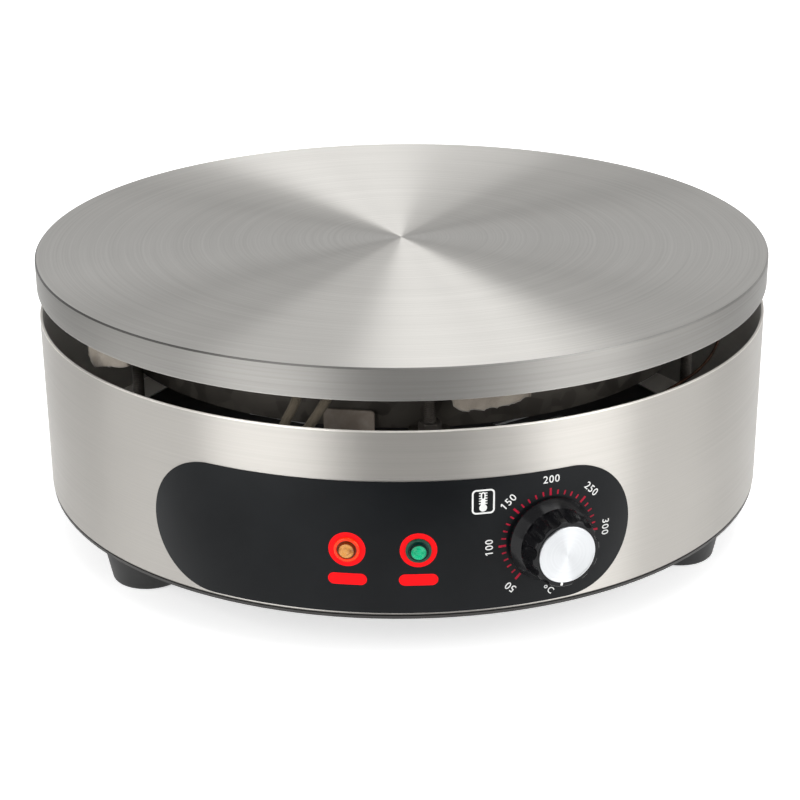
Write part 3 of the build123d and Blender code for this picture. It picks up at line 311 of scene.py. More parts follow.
# Painted highlight on the folded rim and painted shade on the bend underneath, both from the height of the
# normal.
rim = add_node(tree, "MapRange", (), painted_rim_highlight, {"Value": facing.outputs["Z"]})
base = add_node(tree, "MapRange", (), painted_base_shade, {"Value": facing.outputs["Z"]})
painted_bend_light = add_node(
    tree, "Math", {"operation": "MULTIPLY"}, (), {0: rim.outputs["Result"], 1: base.outputs["Result"]}
)
cover(
    tree, shader, streaks.outputs["Fac"], "#b5b2ad", "#bbb8b3", (0.3, 0.7), painted_bend_light.outputs[0],
    rough=(clouds.outputs["Fac"], 0.46, 0.54), relief=(streaks.outputs["Fac"], 0.06, 0.2),
)
coat(shell, brushed_steel)


# Control panel. A printed polyester film, 0.4 mm thick with half-round ends, glued round the front of
# the drum. Its face is satin black with a very fine grain.

panel_bottom = 32.0
panel_top = 101.6
panel_length = 249.5
panel_film = 0.4
film_gap = 0.05
film_edge = 0.12
film_angle = math.radians(50)
panel_face = shell_radius + film_gap + panel_film
strip_width = 2.5


def pick(piece):
    """Selects one piece alone and makes it the active one."""
    bpy.ops.object.select_all(action="DESELECT")
    piece.select_set(True)
    bpy.context.view_layer.objects.active = piece


def apply_modifier(piece, kind, **settings):
    """Adds a modifier with these settings to the active piece and applies it."""
    modifier = piece.modifiers.new(kind.lower(), kind)
    for key, value in settings.items():
        setattr(modifier, key, value)
    bpy.ops.object.modifier_apply(modifier=modifier.name)


def cut_in_strips():
    """Bisects the active piece by evenly spaced upright planes, so that it can follow the drum."""
    edit_all()
    side = strip_width / 2
    while side < panel_length / 2:
        for across in (-side, side):
            bpy.ops.mesh.select_all(action="SELECT")
            bpy.ops.mesh.bisect(plane_co=(across * mm, 0, 0), plane_no=(1, 0, 0))
        side += strip_width
    bpy.ops.object.mode_set(mode="OBJECT")


def bend_round_drum(piece, radius):
    """Bends a flat piece that stands in the XZ plane, facing -Y, round the drum at this radius in mm."""
    for vertex in piece.data.vertices:
        flat_x, flat_y, level = vertex.co
        out = radius * mm - flat_y
        turn = flat_x / (panel_face * mm)
        vertex.co = (out * math.sin(turn), -out * math.cos(turn), level)


def flat_plate(name, length, height, corner, segments=16):
    """A flat plate with round corners, standing in the XZ plane and facing -Y, sizes in mm."""
    bpy.ops.object.select_all(action="DESELECT")
    bpy.ops.mesh.primitive_plane_add(size=mm, rotation=(math.pi / 2, 0, 0))
    piece = bpy.context.active_object
    piece.name = piece.data.name = name
    piece.scale = (length, height, 1)
    bpy.ops.object.transform_apply(location=False, rotation=True, scale=True)
    edit_all()
    bpy.ops.mesh.bevel(offset=corner * mm, offset_type="OFFSET", segments=segments, affect="VERTICES")
    bpy.ops.mesh.select_all(action="SELECT")
    bpy.ops.mesh.remove_doubles(threshold=merge_distance)
    bpy.ops.object.mode_set(mode="OBJECT")
    return piece


def finish_film(piece, radius, thickness, edge=0.0):
    """Cuts a flat piece into strips, bends it round the drum, and gives it its thickness inwards."""
    pick(piece)
    cut_in_strips()
    bend_round_drum(piece, radius)
    apply_modifier(piece, "SOLIDIFY", thickness=thickness * mm, offset=-1.0)
    if edge:
        apply_modifier(
            piece, "BEVEL", width=edge * mm, segments=2, limit_method="ANGLE", angle_limit=film_angle
        )
    bpy.ops.object.shade_smooth_by_angle(angle=smooth_angle)


def mottled(
    name, dark, light, per_metre, detail, ends=(0, 1), rough=None, relief=None, grain=None, **shader_values
):
    """A material mottled from dark to light, with this many patches to the metre and this much detail.

    rough is its least and greatest roughness, and relief is its bumps' strength and depth in mm. The bumps
    follow the patches, or the finer noise that grain gives.
    """
    material, tree, shader = new_material(name, **shader_values)
    place = add_node(tree, "TexCoord").outputs["Object"]
    noise = add_node(tree, "TexNoise", (), {"Scale": per_metre, "Detail": detail}, {"Vector": place})
    patches = bumps = noise.outputs["Fac"]
    if grain:
        bumps = add_node(tree, "TexNoise", (), grain, {"Vector": place}).outputs["Fac"]
    cover(
        tree, shader, patches, dark, light, ends,
        rough=rough and (patches, *rough), relief=relief and (bumps, *relief),
    )
    return material


panel_height = panel_top - panel_bottom
panel = flat_plate("panel_film", panel_length, panel_height, panel_height / 2, 32)
panel.data.transform(Matrix.Translation((0, 0, (panel_top + panel_bottom) / 2 * mm)))
finish_film(panel, panel_face, panel_film, film_edge)
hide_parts("control_panel_overlay")
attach(panel, "root")

# Printed polyester film: satin black with a slight blue cast, an even fine grain and a soft sheen.
coat(panel, mottled(
    "satin polyester film", "#0b0d0f", "#111315", 22, 3, (0.35, 0.65), relief=(0.08, 0.1),
    grain={"Scale": 900, "Detail": 2}, Roughness=0.36, Specular_IOR_Level=0.11,
))


# Printed marks. Screen-printed ink on the film: a red ring round each lamp, two red labels, the dial's
# red ticks and its white numbers, degree sign, C and thermometer sign. Each lies 0.05 mm proud.

ink_proud = 0.05
ink_depth = 0.12
control_height = 65.8
dial_arc = 79.7
lamp_arcs = {"power": -19.7, "heat": 14.6}
lamp_ring_outer = 8.95
lamp_ring_inner = 5.6
label_size = (18.9, 6.0, 3.0)
label_level = 50.0


def turned(degrees, axis):
    """A turn of so many degrees about one of the axes."""
    return Matrix.Rotation(math.radians(degrees), 4, axis)


def put_flat(piece, across, level, clockwise=0.0):
    """Turns a flat standing piece clockwise, then moves it across and up, in mm."""
    piece.data.transform(Matrix.Translation((across * mm, 0, level * mm)) @ turned(clockwise, "Y"))
    return piece


def join(name, pieces):
    """Joins pieces into the first one and gives it this name."""
    pick(pieces[0])
    for piece in pieces:
        piece.select_set(True)
    if len(pieces) > 1:
        bpy.ops.object.join()
    pieces[0].name = pieces[0].data.name = name
    return pieces[0]


def flat_words(words, height):
    """Letters of this height in mm, made a mesh that stands in the XZ plane round its own middle."""
    bpy.ops.object.select_all(action="DESELECT")
    bpy.ops.object.text_add()
    letters = bpy.context.active_object
    letters.data.body = words
    letters.data.resolution_u = 4
    letters.data.offset = letter_weight
    letters.data.space_character = letter_spacing
    bpy.ops.object.convert(target="MESH")
    points = [vertex.co for vertex in letters.data.vertices]
    low, high = (Vector([end(part) for part in zip(*points)]) for end in (min, max))
    size = height * mm / (high.y - low.y)
    stand = turned(90, "X") @ Matrix.Scale(size, 4)
    letters.data.transform(stand @ Matrix.Translation(-(low + high) / 2))
    return letters


def leave_rim(width):
    """Cuts the inside out of the active flat piece and leaves a rim of this width in mm."""
    edit_all()
    bpy.ops.mesh.inset(thickness=width * mm)
    bpy.ops.mesh.delete(type="FACE")
    bpy.ops.object.mode_set(mode="OBJECT")


def flat_ring(outer, inner, sides=64):
    """A flat ring that stands in the XZ plane round the origin, radii in mm."""
    bpy.ops.object.select_all(action="DESELECT")
    bpy.ops.mesh.primitive_circle_add(
        vertices=sides, radius=outer * mm, fill_type="NGON", rotation=(math.pi / 2, 0, 0)
    )
    bpy.ops.object.transform_apply(location=False, rotation=True, scale=False)
    leave_rim(outer - inner)
    return bpy.context.active_object


# The dial: ticks from (inner radius, outer radius, width), the longer ones at each number.
dial_start = -138
dial_step = 9.18
tick_count = 26
ticks_per_number = 5
major_tick = (22.5, 26.3, 1.1)
minor_tick = (22.8, 25.1, 0.78)
tick_corner = 0.12
ticks = []
for count in range(tick_count):
    inner, outer, width = major_tick if count % ticks_per_number == 0 else minor_tick
    mark = flat_plate("tick", width, outer - inner, tick_corner, 2)
    put_flat(mark, 0, (inner + outer) / 2)
    ticks.append(put_flat(mark, 0, 0, dial_start + dial_step * count))
dial_ticks = join("dial_ticks", ticks)
put_flat(dial_ticks, dial_arc, control_height)

lamp_rings = join("lamp_rings", [
    put_flat(flat_ring(lamp_ring_outer, lamp_ring_inner), arc, control_height) for arc in lamp_arcs.values()
])
lamp_labels = join("lamp_labels", [
    put_flat(flat_plate("label", *label_size, 12), arc, label_level) for arc in lamp_arcs.values()
])

# The numbers stand round the dial at these turns. The figure 1 gets a slanting flag at its top.
dial_numbers = {50: -139.5, 100: -91, 150: -43.5, 200: 0.3, 250: 45.6, 300: 91.3}
number_height = 3.9
number_circle = 31.0
letter_weight = 0.008
letter_spacing = 1.12
flag_size = (1.25, 0.55, 0.1)
flag_aside = 0.2
flag_drop = 0.62
flag_slant = -42
degree_ring = (0.95, 0.45, 24)
degree_place = (-1.6, -26.3)
letter_height = 3.4
letter_place = (1.0, -28.6, 45)
numbers = []
for value, clockwise in dial_numbers.items():
    figure = flat_words(str(value), number_height)
    if str(value).startswith("1"):
        left = min(vertex.co.x for vertex in figure.data.vertices) / mm
        flag = flat_plate("flag", *flag_size, 2)
        put_flat(flag, left - flag_aside, number_height / 2 - flag_drop, flag_slant)
        figure = join("number", [figure, flag])
    put_flat(figure, 0, number_circle)
    numbers.append(put_flat(figure, 0, 0, clockwise))
numbers.append(put_flat(flat_ring(*degree_ring), *degree_place))
numbers.append(put_flat(flat_words("C", letter_height), *letter_place))
dial_figures = join("dial_numbers", numbers)
put_flat(dial_figures, dial_arc, control_height)

# The thermometer sign: a frame, a bulb, a stem, an open tube and five bars on each side, each with its
# length, height, corner radius and segments.
sign_place = (45.7, 89.45)
sign_middle = -0.1
bar_levels = (-0.9, 0.45, 1.8, 3.15, 4.5)
sign_frame = flat_plate("sign", 11.2, 12.8, 2.2, 8)
leave_rim(0.85)
bulb = put_flat(flat_plate("bulb", 3.8, 3.8, 1.9, 8), sign_middle, -3.2)
stem = put_flat(flat_plate("stem", 2.2, 3.4, 0.3, 3), sign_middle, -0.5)
tube = flat_plate("opening", 2.3, 4.0, 1.15, 8)
leave_rim(0.62)
put_flat(tube, sign_middle, 3.0)
bars = [
    put_flat(flat_plate("bar", 1.1, 0.55, 0.12, 2), sign_middle + side, level)
    for side in (-1.5, 1.5)
    for level in bar_levels
]
sign = join("thermometer_sign", [sign_frame, bulb, stem, tube] + bars)
put_flat(sign, *sign_place)

for marks in (dial_ticks, lamp_rings, lamp_labels, dial_figures, sign):
    finish_film(marks, panel_face + ink_proud, ink_depth)
    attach(marks, "root")


def ink(name, light, dark):
    """Screen-printing ink: opaque and slightly matt, with a faint grain from the mesh of the screen."""
    return mottled(
        name, dark, light, 420, 2, (0.35, 0.65), relief=(0.05, 0.1), Roughness=0.42, Specular_IOR_Level=0.11
    )


red_ink = ink("bright red printing ink", "#f80a10", "#e80812")
dark_red_ink = ink("crimson printing ink", "#ac1832", "#8c1028")
white_ink = ink("white printing ink", "#dededc", "#cfd0cf")
coat(dial_ticks, dark_red_ink)
for marks in (lamp_rings, lamp_labels):
    coat(marks, red_ink)
for marks in (dial_figures, sign):
    coat(marks, white_ink)


# Signal lamps. Each lens is one moulding of clear coloured polycarbonate that snaps into the panel: a
# flange, a moat round the boss, and a boss whose end is cut into small facets.

flange_radius = 6.3
flange_thickness = 1.2
moat_radius = 4.8
moat_depth = 0.4
boss_root = 4.3
boss_end = 3.8
boss_lip = 0.08
boss_ledge = 0.25
boss_heights = {"power": 1.3, "heat": 1.9}
lens_bore = 3.4
facets_sunk = 0.3
facet_sides = 18
facet_rings = 3
facet_rise = 0.32
film_level = film_gap + panel_film
face_level = film_level + flange_thickness


def set_on_drum(piece, arc, level, clockwise=0.0):
    """Puts a piece made round the Z axis on the drum, with its Z axis pointing straight out."""
    turn = arc / panel_face
    piece.rotation_euler = (
        Matrix.Rotation(turn, 4, "Z") @ turned(90, "X") @ turned(-clockwise, "Z")
    ).to_euler()
    piece.location = Vector((shell_radius * math.sin(turn), -shell_radius * math.cos(turn), level)) * mm
    pick(piece)
    bpy.ops.object.transform_apply(location=True, rotation=True, scale=False)


def facetted_end(name, height):
    """The boss's end: a disc cut into rings of small pyramids, at this height in mm on the Z axis."""
    bpy.ops.object.select_all(action="DESELECT")
    bpy.ops.mesh.primitive_circle_add(
        vertices=facet_sides, radius=boss_end * mm, fill_type="NGON", location=(0, 0, height * mm)
    )
    piece = bpy.context.active_object
    piece.name = piece.data.name = name
    bpy.ops.object.transform_apply(location=True, rotation=False, scale=False)
    edit_all()
    for inset in range(facet_rings - 1):
        bpy.ops.mesh.inset(thickness=boss_end / facet_rings * mm)
    bpy.ops.mesh.select_all(action="SELECT")
    bpy.ops.mesh.poke(offset=facet_rise * mm)
    bpy.ops.object.mode_set(mode="OBJECT")
    return piece


def lens_profile(boss_height):
    """The cut through a lens, from the boss's end over the moat and the flange to its back."""
    boss_top = face_level + boss_height
    return [
        (boss_end, boss_top - boss_ledge, 0),
        (boss_end, boss_top, 0.1),
        (boss_end + boss_lip, boss_top, 0.1),
        (boss_root, face_level - moat_depth, 0.15),
        (moat_radius, face_level - moat_depth, 0.1),
        (moat_radius + 0.15, face_level, 0.12),
        (flange_radius, face_level, 0.5),
        (flange_radius, film_level, 0),
        (lens_bore, film_level, 0),
        (lens_bore, boss_top - boss_ledge, 0),
        (boss_end, boss_top - boss_ledge, 0),
    ]


def lamp_plastic(name, light, dark, glow, strength):
    """Clear coloured polycarbonate: deep colour, hard gloss, and a painted glow for the light scattered
    inside it.
    """
    return mottled(
        name, dark, light, 260, 2, (0.35, 0.65), Roughness=0.16, IOR=1.58, Specular_IOR_Level=0.2,
        Emission_Color=linear(glow), Emission_Strength=strength,
    )


# Each lamp's flange, its boss's wall, darkened as painted shade, and the facets at its end, lightened as a
# painted highlight.
lamp_colours = {
    "power": (
        lamp_plastic("orange polycarbonate", "#fa3a0c", "#e02806", "#ff4404", 0.15),
        lamp_plastic("orange polycarbonate wall in painted shade", "#6e2c0a", "#501c06", "#602404", 0.05),
        lamp_plastic("amber polycarbonate facets with painted highlight", "#c48c4a", "#8e5a2a", "#c88440", 0.06),
    ),
    "heat": (
        lamp_plastic("green polycarbonate", "#074432", "#042e22", "#0a6a4a", 0.01),
        lamp_plastic("green polycarbonate wall in painted shade", "#04332a", "#02201c", "#033325", 0.01),
        lamp_plastic("green polycarbonate facets with painted highlight", "#10a878", "#088a60", "#10b880", 0.08),
    ),
}
wall_limit = moat_radius - 0.05
for lamp, arc in lamp_arcs.items():
    lens = turn_on_lathe(lamp + "_lens", lens_profile(boss_heights[lamp]), 96)
    face = facetted_end(lamp + "_lens_face", face_level + boss_heights[lamp] - facets_sunk)
    flange_plastic, wall_plastic, face_plastic = lamp_colours[lamp]
    lens.data.materials.append(flange_plastic)
    lens.data.materials.append(wall_plastic)
    # The boss's wall and the moat take the darker copy of the plastic as painted shade.
    for polygon in lens.data.polygons:
        if math.hypot(polygon.center.x, polygon.center.y) < wall_limit * mm:
            polygon.material_index = 1
    coat(face, face_plastic)
    for piece in (lens, face):
        set_on_drum(piece, arc, control_height)
        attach(piece, "root")
    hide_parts(lamp + "_lamp_lens")


# Thermostat knob. A black moulding with a flared skirt and a grip with eleven hollows, one place left
# whole for the pointer. A spun aluminium disc is pressed into its face.

knob_back = 1.35
skirt_radius = 21.8
cone_bottom = 2.85
grip_bottom = 8.55
knob_front = 19.55
root_radius = 18.8
front_radius = 17.2
grip_bands = (0.25, 0.5, 0.75)
bore_radius = 3.1
bore_end = 4.0
boss_radius = 7.0
boss_back = 0.8
cavity_radius = 18.3
cavity_depth = 5.0
cap_radius = 14.5
cap_gap = 0.05
cap_seat = 18.75
cap_front = 20.6
cap_lip = 0.7
cap_slope_end = 1.0
cap_sunk = 0.12
face_rim = 0.6
hollow_radius = 4.3
hollow_depth = 1.5
hollow_places = 12
pointer_angle = -171.0
grip_smooth_angle = math.radians(28)

grip_height = knob_front - grip_bottom
grip_taper = root_radius - front_radius
knob = turn_on_lathe("knob_moulding", [
    (bore_radius, knob_front - bore_end, 0),
    (bore_radius, knob_back + boss_back, 0),
    (boss_radius, knob_back + boss_back, 0.2),
    (boss_radius, knob_back + cavity_depth, 0.5),
    (cavity_radius, knob_back + cavity_depth, 0.8),
    (cavity_radius, knob_back, 0.2),
    (skirt_radius, knob_back, 0.3),
    (skirt_radius, cone_bottom, 0.5),
    (root_radius + 0.13, grip_bottom - 0.25, 0),
    (root_radius, grip_bottom - 0.02, 0),
    (root_radius, grip_bottom + 0.03, 0),
    *((root_radius - grip_taper * band, grip_bottom + grip_height * band, 0) for band in grip_bands),
    (front_radius, knob_front, 0.8),
    (cap_radius + cap_gap, knob_front, 0.12),
    (cap_radius + cap_gap, cap_seat, 0),
    (0, cap_seat, 0),
], fine_sides)

# The hollows are cut as by a round cutter: each vertex of the grip moves in to the cutter's path.
pitch = 2 * math.pi / hollow_places
for vertex in knob.data.vertices:
    height = vertex.co.z / mm
    reach = math.hypot(vertex.co.x, vertex.co.y) / mm
    turn = math.atan2(vertex.co.y, vertex.co.x) - math.pi / 2
    place = round(turn / pitch)
    if height < grip_bottom or reach < cap_radius + face_rim or place % hollow_places == 0:
        continue
    aside = turn - place * pitch
    face_radius = root_radius - grip_taper / grip_height * (height - grip_bottom)
    middle = face_radius - hollow_depth + hollow_radius
    inside = hollow_radius ** 2 - (middle * math.sin(aside)) ** 2
    if inside <= 0:
        continue
    hollow = middle * math.cos(aside) - math.sqrt(inside)
    if hollow < reach:
        vertex.co.x *= hollow / reach
        vertex.co.y *= hollow / reach
knob.data.update()
bpy.ops.object.shade_smooth_by_angle(angle=grip_smooth_angle)
set_on_drum(knob, dial_arc, control_height, pointer_angle)
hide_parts("knob_body")
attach(knob, "knob")

# Injection-moulded ABS: deep black, half gloss, with the faint orange peel of a polished mould.
coat(knob, mottled(
    "half-gloss black ABS", "#08080a", "#121214", 260, 3, rough=(0.13, 0.22), relief=(0.08, 0.2),
    IOR=1.53, Specular_IOR_Level=0.2,
))

cap = turn_on_lathe("knob_disc", [
    (0, cap_seat, 0),
    (cap_radius, cap_seat, 0),
    (cap_radius, cap_front, 0.3),
    (cap_radius - cap_lip, cap_front, 0.15),
    (cap_radius - cap_slope_end, cap_front - cap_sunk, 0.1),
    (0, cap_front - cap_sunk, 0),
], 256)
set_on_drum(cap, dial_arc, control_height)
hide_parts("knob_cap")
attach(cap, "knob")

# Spun aluminium: nearly white metal with fine rings, which gather the light into wedges.
# The real rings are about 0.05 mm apart; they are drawn 0.4 mm apart so that they show.
dial_turn = dial_arc / panel_face
dial_out = (math.sin(dial_turn), -math.cos(dial_turn), 0)
dial_centre = (shell_radius * mm * dial_out[0], shell_radius * mm * dial_out[1], control_height * mm)
disc_rings_per_metre = 2600.0
change_round_disc = (20, 20, 20)

spun_aluminium, tree, shader = new_material(
    "spun aluminium", Metallic=1.0, Roughness=0.3, Anisotropic=0.85, Anisotropic_Rotation=0.25
)
offset = grain_round(tree, shader, dial_centre, dial_out)
radius = add_node(tree, "VectorMath", {"operation": "LENGTH"}, (), {0: offset})
outwards = add_node(
    tree, "Math", {"operation": "MULTIPLY"}, {1: disc_rings_per_metre}, {0: radius.outputs["Value"]}
)
slow = add_node(tree, "VectorMath", {"operation": "MULTIPLY"}, {1: change_round_disc}, {0: offset})
rings = add_node(
    tree, "TexNoise", {"noise_dimensions": "4D"}, {"Scale": 1.0, "Detail": 3.0},
    {"Vector": slow.outputs[0], "W": outwards.outputs[0]},
)
cover(tree, shader, rings.outputs["Fac"], "#b9bbbd", "#c8cacc", relief=(rings.outputs["Fac"], 0.05, 0.1))
coat(cap, spun_aluminium)


def dress(material, *names):
    """Gives CAD nodes a material in place of the one they came with."""
    for name in names:
        coat(nodes[name], material)


# The pointer is a line of white lacquer in the knob's face; its own block keeps its shape.
dress(ink("white filling lacquer", "#f6f6f4", "#ebebe8"), "knob_pointer")


# Feet. Three cones of black moulded rubber, each with a recess for the nut that holds it on.

foot_azimuths = {"foot_front_left": -53.3, "foot_front_right": 66.7, "foot_rear": 186.7}
stud_circle = 166.0
foot_top = 28.5
foot_top_radius = 25
foot_sole_radius = 19.3
foot_recess = 15
foot_recess_radius = 9
foot_bore = 3.3


def stand_at(piece, azimuth, radius):
    """Moves a piece made round the Z axis out to a place on a circle, in degrees from the front."""
    turn = math.radians(azimuth)
    piece.data.transform(Matrix.Translation((radius * mm * math.sin(turn), -radius * mm * math.cos(turn), 0)))
    return piece


# Moulded rubber: dull black, greyed by dust in patches, with the pebbled skin of its mould.
black_rubber = mottled(
    "black moulded rubber", "#0c0c0c", "#1a1a19", 40, 4, rough=(0.45, 0.65), relief=(0.15, 0.2),
    grain={"Scale": 900, "Detail": 3}, IOR=1.5,
)

for name, azimuth in foot_azimuths.items():
    foot = turn_on_lathe(name + "_cone", [
        (foot_bore, foot_recess, 0),
        (foot_recess_radius, foot_recess, 0.3),
        (foot_recess_radius, 0, 0.4),
        (foot_sole_radius, 0, 2.5),
        (foot_top_radius, foot_top, 1.0),
        (foot_bore, foot_top, 0),
        (foot_bore, foot_recess, 0),
    ], 96)
    stand_at(foot, azimuth, stud_circle)
    coat(foot, black_rubber)
    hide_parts(name)
    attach(foot, "root")


# Zinc-plated fasteners. M6 threaded rods carry the griddle and the tray; nuts, washers and screws hold
# the rest. Zinc plating is a bright grey with a slight blue cast and dull patches.

zinc_plating = mottled(
    "bright zinc plating", "#a9adb0", "#d6d9da", 160, 4, rough=(0.25, 0.45), relief=(0.1, 0.2), Metallic=1.0
)
dress(
    zinc_plating, "plate_stud_nuts", "foot_washers", "clamp_studs", "clamp_nuts",
    "sensor_clip_screws", "housing_screws", "housing_nuts", "thermostat_screws", "bracket_screws",
    "bracket_nuts", "terminal_screws", "earth_stud", "earth_nuts", "earth_washer",
)

thread_pitch = 1.0
thread_crest = 3.0
thread_root = 2.45
thread_sides = 20
rod_in_griddle = 9
tray_stud_azimuths = (6.7, 126.7, 246.7)


def threaded_rod(name, bottom, top):
    """An M6 threaded rod: one ridge carried up a screw line, with both ends closed."""
    piece = draw_line(name, [
        (thread_root, 0, bottom),
        (thread_crest, 0, bottom + thread_pitch / 2),
        (thread_root, 0, bottom + thread_pitch),
    ])
    bpy.ops.object.mode_set(mode="OBJECT")
    apply_modifier(
        piece, "SCREW", steps=thread_sides, render_steps=thread_sides, screw_offset=thread_pitch * mm,
        iterations=int(top - bottom - thread_pitch), use_merge_vertices=True, merge_threshold=merge_distance,
    )
    edit_all()
    bpy.ops.mesh.remove_doubles(threshold=merge_distance)
    bpy.ops.mesh.fill_holes(sides=0)
    close_mesh()
    return piece


# Zinc plating darkened to a brownish grey as painted shade, for the rods and the tray's nuts in the dark gap.
zinc_in_painted_shade = mottled("zinc plating darkened as painted shade", "#56524d", "#7c7771", 160, 4, Metallic=0.8, Roughness=0.5)
for node, azimuths, rod_bottom in (
    ("plate_studs", foot_azimuths.values(), 6.4),
    ("tray_studs", tray_stud_azimuths, 105.0),
):
    rod = join(node + "_threaded", [
        stand_at(threaded_rod(node + "_rod", rod_bottom, plate_bottom + rod_in_griddle), azimuth, stud_circle)
        for azimuth in azimuths
    ])
    coat(rod, zinc_in_painted_shade)
    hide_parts(node)
    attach(rod, "root")
# The tray's nuts take the same painted shade.
dress(zinc_in_painted_shade, "tray_stud_nuts")


# Sheet and heater parts inside. The tray and the thermostat's plate are galvanised sheet with a faint
# crystal pattern, the base plate is enamelled, the bracket's zinc has weathered to a chalky coat, and the
# heater's parts are steel, brass and copper that heat has dulled.

# Both tones are darker than bare galvanised sheet, as painted shade for the dark inside of the housing.
galvanised, tree, shader = new_material("galvanised sheet steel", Metallic=1.0)
place = add_node(tree, "TexCoord")
spangle = add_node(tree, "TexVoronoi", (), {"Scale": 140.0}, {"Vector": place.outputs["Object"]})
crystals = spangle.outputs["Color"]
cover(tree, shader, crystals, "#5e5a55", "#7a756e", rough=(crystals, 0.5, 0.7))
dress(galvanised, "insulation_tray", "thermostat_plate")


def oxidised(name, light, dark, rough, bare=0.85):
    """Metal that heat or air has dulled, mottled between two colours; bare is the share of open metal."""
    return mottled(
        name, dark, light, 110, 5, (0.35, 0.65), relief=(0.15, 0.2), Metallic=bare, Roughness=rough
    )


dress(
    oxidised("heat-darkened element sheath", "#4c4844", "#2c2a28", 0.5),
    "heating_element_outer", "heating_element_inner",
)
dress(oxidised("black stove enamel", "#262422", "#1a1816", 0.5, bare=0.0), "base_plate")
dress(oxidised("weathered zinc coat", "#a0958a", "#857a70", 0.6, bare=0.1), "wiring_bracket")
dress(
    oxidised("plain rolled steel", "#a5a19b", "#7e7a75", 0.42),
    "element_pins", "element_clamp_bars", "sensor_clip", "thermostat_spindle",
)
dress(oxidised("blued spring steel", "#5a6068", "#3c4046", 0.35), "knob_leaf_spring", "lamp_clips")
dress(
    oxidised("tinned brass", "#c9b27a", "#a88f58", 0.35),
    "lamp_tabs", "thermostat_tabs", "terminal_inserts",
)
# The copper's dark brown is partly heat dulling and partly painted shade for the dark gap.
dress(
    oxidised("dull copper tube", "#5a3e30", "#3c2a20", 0.5),
    "sensor_bulb", "capillary_tube", "thermostat_capsule",
)


def moulding(name, light, dark, rough):
    """Moulded plastic or fired clay with a slightly uneven skin."""
    return mottled(name, dark, light, 300, 4, (0.3, 0.7), relief=(0.12, 0.2), Roughness=rough)


dress(moulding("brown phenolic moulding", "#6a5844", "#524434", 0.45), "thermostat_body")
dress(moulding("white porcelain", "#e6e2d8", "#d8d3c8", 0.3), "terminal_block")
dress(
    moulding("black polyamide", "#1c1c1c", "#121212", 0.45),
    "power_lamp_body", "heat_lamp_body", "cable_gland_body", "cable_gland_cap", "cable_gland_locknut",
)
dress(moulding("black gland rubber", "#161616", "#0e0e0e", 0.6), "cable_gland_seal")


# Insulation. A blanket of white ceramic fibre lies in the tray and bulges over its rim in two places. It
# is felted from loose threads, so its surface is lumpy and fuzzy.

felt_voxel = 1.9
felt_relief = (("felt lumps", 0.009, 3, 2.4), ("felt fuzz", 0.0025, 2, 0.9))
felt_middle = 0.75
droops = ((9.0, 15.5, 21.5, 12.5, 0.7), (-61.0, -57.5, -44.0, 13.2, 1.4))
droop_from = 174.0
droop_run = 10.0

blanket = nodes["insulation_blanket"].copy()
blanket.data = nodes["insulation_blanket"].data.copy()
blanket.parent = None
for key in list(blanket.keys()):
    del blanket[key]
bpy.context.scene.collection.objects.link(blanket)
blanket.name = blanket.data.name = "fibre_blanket"
pick(blanket)
edit_all()
bpy.ops.mesh.remove_doubles(threshold=0.01 * mm)
bpy.ops.object.mode_set(mode="OBJECT")
apply_modifier(blanket, "REMESH", mode="VOXEL", voxel_size=felt_voxel * mm)
for name, size, depth, strength in felt_relief:
    texture = bpy.data.textures.new(name, "CLOUDS")
    texture.noise_scale = size
    texture.noise_depth = depth
    apply_modifier(blanket, "DISPLACE", texture=texture, strength=strength * mm, mid_level=felt_middle)

# The two bulges hang down between their left and right azimuths, by droop mm at the deepest one.
for vertex in blanket.data.vertices:
    reach = math.hypot(vertex.co.x, vertex.co.y) / mm
    azimuth = math.degrees(math.atan2(vertex.co.x, -vertex.co.y))
    out = min((reach - droop_from) / droop_run, 1)
    for left, deepest, right, droop, taper in droops:
        if out > 0 and left < azimuth < deepest:
            vertex.co.z -= droop * mm * out * math.sqrt((azimuth - left) / (deepest - left))
        if out > 0 and deepest <= azimuth < right:
            vertex.co.z -= droop * mm * out * ((right - azimuth) / (right - deepest)) ** taper
bpy.ops.object.shade_smooth()
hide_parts("insulation_blanket")
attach(blanket, "root")

# Ceramic-fibre felt: chalky, its white darkened to greyish brown as painted shade, with a mat of fine
# crossing threads.
coat(blanket, mottled(
    "ceramic-fibre felt", "#7a7167", "#a2998d", 60, 4, (0.3, 0.65), relief=(0.6, 0.6),
    grain={"Scale": 700, "Detail": 6, "Distortion": 1.5}, Roughness=0.95, Sheen_Weight=0.3,
))


# Heater leads. Two wires in thick tan sleeves of woven glass fibre, which run up through the gap beside
# the tray and over its rim to the heating rings.

sleeve_radius = 2.4
switched_route = (
    (77.5, -139.8, 57.8), (74.0, -131.6, 57.8), (35.7, -133.3, 72.0), (4.7, -133.9, 92.0),
    (-25.4, -143.8, 100.0), (-43.0, -160.3, 103.0), (-43.1, -172.7, 112.0), (-35.7, -175.4, 123.0),
    (-28.6, -172.7, 134.0), (-23.7, -160.3, 138.8), (-19.7, -147.9, 132.2), (-18.2, -136.9, 128.2),
)
neutral_route = (
    (-28.9, -150.9, 54.0), (-40.8, -149.4, 54.0), (-52.7, -153.2, 66.0), (-58.8, -161.6, 84.0),
    (-58.0, -168.3, 102.0), (-51.1, -172.6, 118.0), (-43.2, -170.6, 133.0), (-43.0, -156.2, 138.8),
    (-52.1, -139.9, 132.2), (-48.2, -129.5, 128.2),
)


